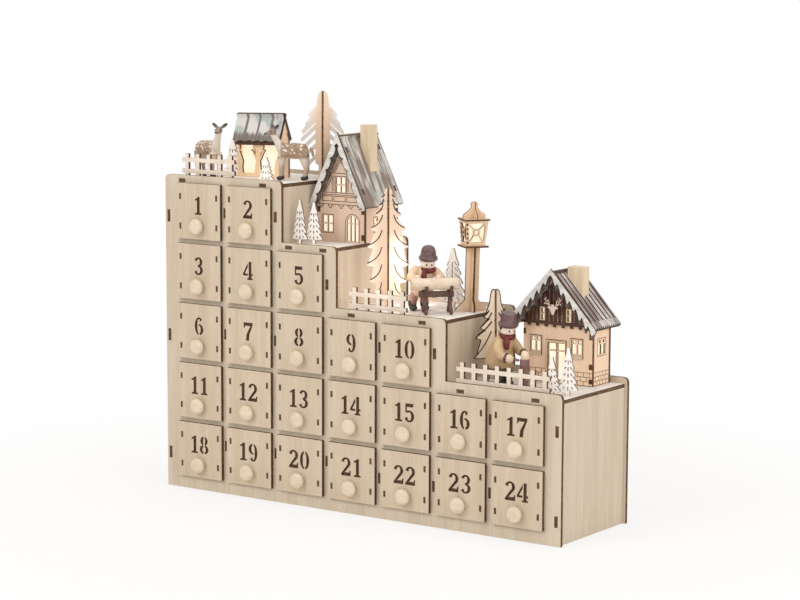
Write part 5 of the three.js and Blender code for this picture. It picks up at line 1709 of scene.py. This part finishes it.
# Fawns
# Two cast and painted fawns stand on the top terrace: brown backs with rows of white spots, pale legs, necks
# and chests, pricked ears with dark tips and black hooves.
fawn_paint, fawn_recipe, fawn_shader = new_finish("fawn_paint")
fawn_grain = fawn_recipe.noise(fawn_recipe.place((220, 220, 220)), detail=3.0)
fawn_region = fawn_recipe.node("ShaderNodeAttribute", {"attribute_name": "own"}, out=1)
own_x = fawn_recipe.node("ShaderNodeSeparateXYZ", None, {0: fawn_region})
own_z = own_x.other(2)
coat_streaks = fawn_recipe.stepped(fawn_grain, 0.3, 0.7)
coat_brown = fawn_recipe.mixed(coat_streaks, colour(146, 120, 100), colour(174, 148, 124))
pale = colour(214, 202, 188)
over_belly = fawn_recipe.stepped(own_z + (fawn_grain - 0.5) * 4, 17.0, 20.5)
fawn_look = fawn_recipe.mixed(1.0 - over_belly, coat_brown, pale)
over_legs = fawn_recipe.stepped(own_z + (fawn_grain - 0.5) * 3, 8.0, 16.0)
legs_grey = fawn_recipe.mixed(over_legs, colour(176, 160, 144), fawn_look)
spot_cells = {"Vector": fawn_recipe.place((290, 290, 290)), "Scale": 1.0, "Randomness": 0.55}
spots = fawn_recipe.node("ShaderNodeTexVoronoi", {"feature": "F1"}, spot_cells)
on_back = fawn_recipe.stepped(own_z, 21.5, 24.0) * (own_x < 9.0)
spotted = fawn_recipe.mixed((spots < 0.3) * on_back, legs_grey, colour(232, 224, 212))
chest_pale = fawn_recipe.stepped(own_x, 8.0, 10.5) * (own_z < 38.0) * (own_z > 20.0)
spotted = fawn_recipe.mixed(chest_pale * 0.8, spotted, colour(228, 220, 210))
greyed = fawn_recipe.mixed(fawn_recipe.stepped(own_z, 37.0, 39.5) * 0.7, spotted, colour(146, 132, 126))
greyed = fawn_recipe.mixed(fawn_recipe.stepped(own_z, 42.5, 44.0) * 0.8, greyed, colour(74, 62, 60))
hoofed = fawn_recipe.mixed(own_z < 3.4, greyed, colour(44, 38, 36))
feed(fawn_recipe, fawn_shader, {"Base Color": hoofed, "Roughness": 0.5 + fawn_grain * 0.2})


def fused(work, name, finish, place, cell, soften, replaces):
    """Casts a piece's parts, drawn in its own millimetres, into one smooth skin and moves it into place."""
    mesh = bpy.data.meshes.new(name)
    mesh.from_pydata([tuple(point) for point in work.points], [], work.faces)
    block = bpy.data.objects.new(name, mesh)
    bpy.context.scene.collection.objects.link(block)
    skin = block.modifiers.new("skin", "REMESH")
    skin.mode = "VOXEL"
    skin.voxel_size = cell
    skin.use_smooth_shade = True
    ease = block.modifiers.new("ease", "SMOOTH")
    ease.factor = 0.5
    ease.iterations = soften
    shapes = bpy.context.evaluated_depsgraph_get()
    made = bpy.data.meshes.new_from_object(block.evaluated_get(shapes))
    block.modifiers.clear()
    block.data = made
    bpy.data.meshes.remove(mesh)
    made.name = name
    own = made.attributes.new("own", "FLOAT_VECTOR", "POINT")
    own.data.foreach_set("vector", [value for vertex in made.vertices for value in vertex.co])
    made.materials.clear()
    made.materials.append(finish)
    made.transform(place)
    made.shade_smooth()
    return settle(block, "chest", replaces)


ink = mottled("black_paint", (700, 700, 700), colour(24, 20, 20), colour(42, 36, 34), 0.3, 0.15, 1.0, None)
own_space = Matrix.Identity(4)
# each fawn: place, turn of the body, turn of the head on the neck, forward slant of the neck
fawns = (("fawn_left", 28.5, 24.0, -13.0, -62.0, 0.0), ("fawn_right", 104.0, 43.0, 205.0, 34.0, 3.2))
for name, x, y, turn, head_turn, slant_of_neck in fawns:
    fawn = Workpiece()
    for sign in (-1, 1):
        side = 3.3 * sign
        fore = [(8.9, side, 20.5), (9.4, side, 12.5), (9.3, side, 6), (9.7, side, 1.8)]
        fawn.limb(fore, [3.4, 2.0, 1.5, 1.8], own_space)
        hind = [(-9.6, side, 21), (-11.2, side, 14.5), (-12.4, side, 9.2), (-11.2, side, 4), (-11.0, side, 1.8)]
        fawn.limb(hind, [4.4, 2.9, 1.7, 1.5, 1.8], own_space)
        fawn.ball((10.3, side, 1.6), (2.8, 2.2, 1.9), own_space)
        fawn.ball((-10.4, side, 1.6), (2.8, 2.2, 1.9), own_space)
    fawn.limb([(-10.0, 0, 24.2), (-1, 0, 24.6), (8.0, 0, 25.0)], [6.6, 6.9, 6.3], own_space, 18)
    head_x = 14.0 + slant_of_neck
    neck = [(8.6, 0, 26), (11.6 + slant_of_neck * 0.5, 0, 32.5), (head_x, 0, 39.0)]
    fawn.limb(neck, [5.0, 3.0, 2.4], own_space)
    fawn.limb([(-15.8, 0, 27.0), (-17.6, 0, 23.4), (-17.4, 0, 20.6)], [1.5, 1.3, 0.9], own_space)
    head = moved_by(head_x, 0, 40.5) @ turned_by(head_turn)
    fawn.ball((0, 0, 0), (3.7, 3.0, 3.2), head)
    fawn.limb([(1.3, 0, -0.4), (5.0, 0, -1.5)], [2.4, 1.5], head)
    for sign in (-1, 1):
        ear = [(-1.2, sign * 1.6, 2.0), (-2.0, sign * 4.2, 4.0), (-2.4, sign * 6.2, 5.4)]
        fawn.limb(ear, [1.0, 1.6, 0.7], head)
    place = from_chest(x, y, terrace_tops[0] + seat_gap, turn)
    fused(fawn, name + "_cast", fawn_paint, place, 0.5, 3, [name])
    features = Workpiece()
    for sign in (-1, 1):
        features.ball((2.0, sign * 2.5, 0.5), (0.7, 0.5, 0.7), place @ head, 8, 12)
        features.limb([(-2.1, sign * 5.0, 4.6), (-2.5, sign * 6.5, 5.7)], [1.35, 0.85], place @ head, 10)
    features.ball((6.5, 0, -1.5), (0.9, 1.1, 0.8), place @ head, 8, 12)
    features.made(name + "_eyes_nose_and_ear_tips", ink, slot="painted_wood_fawn", smooth=60)

# Painted turned-wood figures
# Two jointed wooden figures work at logs. Heads, hats, coats, legs and shoes are turned separately, painted
# and glued: a white face with two dots for eyes, a brimmed hat, a dark red scarf and a cream coat.


def wood_paint(name, low, high, gloss=0.42):
    """Thin satin paint on turned wood: a cloudy tone, faint brush marks and slight unevenness."""
    material, recipe, shader = new_finish(name)
    cloud = recipe.noise(recipe.place((130, 130, 130)), detail=3.0)
    brush = recipe.noise(recipe.place((260, 260, 900)), detail=2.0)
    look = recipe.mixed(recipe.stepped(cloud * 0.6 + brush * 0.4, 0.34, 0.66), low, high)
    rough = gloss + cloud * 0.15
    feed(recipe, shader, {"Base Color": look, "Roughness": rough, "Normal": relief(recipe, brush, 0.12)})
    return material


coat_cream = wood_paint("coat_paint_cream", colour(218, 190, 160), colour(232, 206, 178))
coat_tan = wood_paint("coat_paint_tan", colour(190, 160, 120), colour(212, 184, 146))
hat_maroon = wood_paint("hat_paint_maroon", colour(84, 60, 62), colour(124, 98, 98))
hat_dark = wood_paint("hat_paint_dark", colour(74, 52, 50), colour(104, 78, 74))
scarf_red = wood_paint("scarf_paint", colour(88, 22, 26), colour(118, 34, 38))
face_white = wood_paint("face_paint", colour(236, 218, 206), colour(246, 232, 222))
hair_black = wood_paint("hair_paint", colour(30, 24, 24), colour(46, 38, 36))
trousers_pink = wood_paint("trouser_paint", colour(168, 126, 118), colour(190, 148, 138))
boots_green = wood_paint("boot_paint", colour(38, 42, 38), colour(58, 62, 54))
hand_cream = wood_paint("hand_paint", colour(232, 206, 178), colour(242, 220, 196))
log_wood = wood_paint("peeled_log", colour(222, 202, 178), colour(238, 222, 202), 0.55)
bark_brown = wood_paint("stained_horse", colour(78, 54, 44), colour(104, 76, 64), 0.5)
block_purple = wood_paint("stained_block", colour(112, 82, 80), colour(150, 112, 106), 0.5)
end_grain, end_recipe, end_shader = new_finish("log_end_grain")
from_pith = end_recipe.node("ShaderNodeAttribute", {"attribute_name": "own"}, out=1)
ring_length = end_recipe.vector_sum("LENGTH", from_pith, out=1)
ring_wave = end_recipe.node("ShaderNodeMath", {"operation": "SINE"}, {0: ring_length * 7.5})
ring_look = end_recipe.mixed(ring_wave * 0.5 + 0.5, colour(232, 212, 184), colour(206, 178, 146))
feed(end_recipe, end_shader, {"Base Color": ring_look, "Roughness": 0.6})


def figure_part(name, finish, parts, place, smooth=50):
    """One painted part of a figure, from limbs, balls and turned profiles."""
    work = Workpiece()
    for kind, *values in parts:
        if kind == "limb":
            work.limb(values[0], values[1], place, 18)
        elif kind == "ball":
            work.ball(values[0], values[1], place, 12, 24)
        else:
            work.turned(values[0], 32, place @ values[1])
    return work.made(name, finish, slot="painted_wood_figure", smooth=smooth)


def head_and_hat(name, x, y, z, face_turn, hat_finish, place, hat_profile, tip=0.0):
    """Head with two dots for eyes, hair behind, scarf and hat. The face looks along face_turn."""
    top = place @ (moved_by(x, y, z) @ turned_by(face_turn) @ turned_by(tip, "Y"))
    figure_part(name + "_head", face_white, [("ball", (0, 0, 5.2), (5.9, 5.9, 6.4))], top)
    hair = [("ball", (-1.8, 0, 6.4), (5.0, 6.1, 4.6))]
    figure_part(name + "_hair", hair_black, hair, top)
    eyes = [("ball", (5.35, sign * 2.1, 5.2), (0.6, 0.75, 0.85)) for sign in (-1, 1)]
    figure_part(name + "_eyes", hair_black, eyes, top)
    scarf_profile = [(0, -2.2), (5.4, -2.2), (6.6, -1.4), (7.0, 0.2), (6.4, 1.9), (5.0, 2.6), (0, 2.6)]
    loose_end = ("limb", [(5.0, -3.4, 0.4), (6.8, -4.4, -3.5), (7.4, -4.4, -8.2)], [2.1, 2.4, 1.9])
    figure_part(name + "_scarf", scarf_red, [("turned", scarf_profile, own_space), loose_end], top)
    figure_part(name + "_hat", hat_finish, [("turned", hat_profile, moved_by(-0.3, 0, 8.6))], top)


# Sawyer
# The first figure leans over a peeled log that lies on a dark sawhorse of two crossed frames and a beam. Its
# parts are glued to each other, and its hands rest on the log.
log_length, log_radius, log_height = 38.5, 4.85, 24.6
sawyer_base = from_chest(253.5, 37.5, terrace_tops[2] + seat_gap, 46.0)
lengthwise = moved_by(-log_length / 2, 0, log_height) @ turned_by(90, "Y")
log_profile = [(0, 0.0), (log_radius - 0.3, 0.0), (log_radius, 0.4)]
log_profile += [(log_radius * (1 + 0.015 * math.sin(k * 1.9)), log_length * k / 9) for k in range(1, 9)]
log_profile += [(log_radius, log_length - 0.4), (log_radius - 0.3, log_length), (0, log_length)]
figure_part("sawyer_log", log_wood, [("turned", log_profile, lengthwise)], sawyer_base)
log_ends = Workpiece()
for sign in (-1, 1):
    disc = moved_by(sign * (log_length / 2 + 0.02), 0, log_height) @ turned_by(90 * sign, "Y")
    log_ends.turned([(0, -0.3), (4.3, -0.3), (4.3, 0.05), (0, 0.05)], 32, disc)
end_piece = log_ends.made("sawyer_log_ends", end_grain, slot="painted_wood_figure")
# each point's place from the pith, before the piece is moved, for the growth rings
pith = end_piece.data.attributes.new("own", "FLOAT_VECTOR", "POINT")
from_axis = [(0.0, v.co.y, v.co.z - log_height) for v in end_piece.data.vertices]
pith.data.foreach_set("vector", [value for vector in from_axis for value in vector])
end_piece.data.transform(sawyer_base)
horse = []
for frame_x in (-8, 12.8):
    for sign in (-1, 1):
        x = frame_x + sign * 0.5
        horse.append(("limb", [(x, sign * 8, 1.3), (x, sign * -5.6, 22.6)], [1.6, 1.45]))
figure_part("sawhorse_frames", bark_brown, horse, sawyer_base)
beam = Workpiece()
softened(beam, (-13.0, -1.7, log_height - 10.6), (16.0, 1.7, log_height - 5.8), sawyer_base, 0.35)
beam.made("sawhorse_beam", bark_brown, slot="painted_wood_figure", smooth=30)
hip_x, hip_y = -6.2, 23.0
legs = []
boots = []
for dx in (-5, 5):
    ankle = (hip_x - 2 + dx, hip_y + 2, 5)
    knee = (hip_x - 1.5 + dx * 0.85, hip_y + 1, 13)
    legs.append(("limb", [ankle, knee, (hip_x - 1 + dx * 0.7, hip_y, 20)], [3.2, 3.4, 3.8]))
    boots.append(("limb", [(hip_x - 2 + dx, hip_y + 2.4, 7.5), (hip_x - 2 + dx, hip_y + 2.2, 3.4)], [3.7, 3.4]))
    boots.append(("ball", (hip_x - 2 + dx, hip_y - 0.6, 2.5), (3.5, 5.6, 2.5)))
figure_part("sawyer_trousers", trousers_pink, legs, sawyer_base)
figure_part("sawyer_boots", boots_green, boots, sawyer_base)
coat_line = [
    (hip_x, hip_y, 16.5), (hip_x + 0.4, hip_y - 0.6, 22), (hip_x + 1.2, hip_y - 2.2, 29),
    (hip_x + 2.2, hip_y - 3.6, 34),
]
figure_part("sawyer_coat", coat_cream, [("limb", coat_line, [9.8, 9.9, 8.6, 6.6])], sawyer_base)
sleeves = []
hands = []
for sign in (-1, 1):
    shoulder = (hip_x + 1 + sign * 5.6, hip_y - 3, 34.5)
    upper_arm = (hip_x + 1.6 + sign * 9.6, hip_y - 5, 32)
    elbow = (hip_x + 2 + sign * 12.4, hip_y - 8, 28.2)
    wrist = (hip_x + 2 + sign * 9.6, 8.4, 28.6)
    sleeves.append(("limb", [shoulder, upper_arm, elbow, wrist], [3.8, 3.9, 3.8, 3.0]))
    hands.append(("ball", (hip_x + 2 + sign * 8.6, 5.6, 28.9), (2.6, 2.8, 2.6)))
figure_part("sawyer_sleeves", coat_cream, sleeves, sawyer_base)
figure_part("sawyer_hands", hand_cream, hands, sawyer_base)
bowler = [
    (0, -0.8), (6.6, -0.8), (7.7, 0.0), (7.9, 1.3), (7.3, 2.6), (6.6, 3.2), (6.4, 4.2), (6.1, 6.8), (5.4, 9.2),
    (4.0, 10.8), (2.0, 11.7), (0, 11.8),
]
head_and_hat("sawyer", hip_x + 4.4, hip_y - 5.0, 34.4, -92, hat_maroon, sawyer_base, bowler, 8.0)
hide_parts("sawyer_at_log")

# Wood splitter
# The second figure bends over a stained chopping block on which a cream billet stands. It is turned and
# painted like the first, and holds a short handle in its right hand.
splitter_base = from_chest(324.8, 34.0, terrace_tops[3] + seat_gap, -8.0)
legs = []
shoes = []
for dy in (-4, 4):
    legs.append(("limb", [(-3, dy, 4.5), (-4, dy, 11), (-5, dy, 18)], [3.3, 3.6, 4.0]))
    shoes.append(("ball", (-1, dy, 2.6), (5.6, 3.4, 2.6)))
    shoes.append(("limb", [(-3.2, dy, 6.5), (-3, dy, 3.5)], [3.6, 3.4]))
figure_part("splitter_trousers", boots_green, legs, splitter_base)
figure_part("splitter_shoes", hair_black, shoes, splitter_base)
coat_line = [(-7.2, 0, 15), (-6.4, 0, 22), (-4.0, 0, 31), (-0.4, 0, 40.5)]
figure_part("splitter_coat", coat_tan, [("limb", coat_line, [11.4, 11.2, 9.4, 6.4])], splitter_base)
hem = [(0, -1.2), (10.8, -1.2), (11.6, -0.5), (11.7, 0.6), (11.1, 1.4), (0, 1.4)]
figure_part("splitter_coat_hem", hat_dark, [("turned", hem, moved_by(-7.1, 0, 14.2))], splitter_base)
right_arm = [(-1.4, -6.4, 37.0), (0.4, -9.6, 31.5), (4.0, -10.6, 26.4), (8.4, -9.6, 24.8)]
left_arm = [(-0.4, 6.2, 37.5), (3.6, 8.0, 32.5), (9.5, 6.4, 28.6), (15.4, 3.6, 28.2)]
sleeves = [("limb", right_arm, [4.3, 4.5, 4.2, 3.8]), ("limb", left_arm, [4.0, 4.1, 3.7, 3.2])]
cuffs = [
    ("limb", [(8.3, -9.7, 24.8), (9.4, -9.4, 24.6)], [4.2, 4.1]),
    ("limb", [(15.2, 3.7, 28.2), (16.2, 3.2, 28.1)], [3.5, 3.4]),
]
hands = [("ball", (11.0, -9.0, 24.4), (3.9, 3.6, 3.7)), ("ball", (18.2, 1.8, 28.0), (2.7, 2.5, 2.6))]
handle = [("limb", [(11.0, -9.0, 24.2), (17.6, -4.6, 23.4)], [1.2, 1.1])]
figure_part("splitter_axe_handle", block_purple, handle, splitter_base)
figure_part("splitter_sleeves", coat_tan, sleeves, splitter_base)
figure_part("splitter_cuffs", hat_dark, cuffs, splitter_base)
figure_part("splitter_hands", hand_cream, hands, splitter_base)
stump = [(0, 0), (4.7, 0), (4.3, 1.6), (3.9, 4), (3.8, 12), (3.9, 23.4), (3.6, 24), (0, 24)]
at_block = moved_by(20, 0, 0)
figure_part("chopping_block", block_purple, [("turned", stump, at_block)], splitter_base)
billet = [(0, 23.8), (2.9, 23.8), (3.3, 25.2), (3.3, 27.4), (2.6, 29.6), (1.2, 30.6), (0, 30.8)]
figure_part("billet", hand_cream, [("turned", billet, at_block)], splitter_base)
top_hat = [
    (0, -0.8), (7.2, -0.8), (8.1, 0.1), (8.1, 1.5), (7.2, 2.4), (6.6, 3.0), (6.5, 4.0), (6.4, 9.4), (5.9, 10.4),
    (0, 10.6),
]
head_and_hat("splitter", 1.6, 0, 40.8, -16, hat_maroon, splitter_base, top_hat, 8.0)
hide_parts("splitter_at_block")
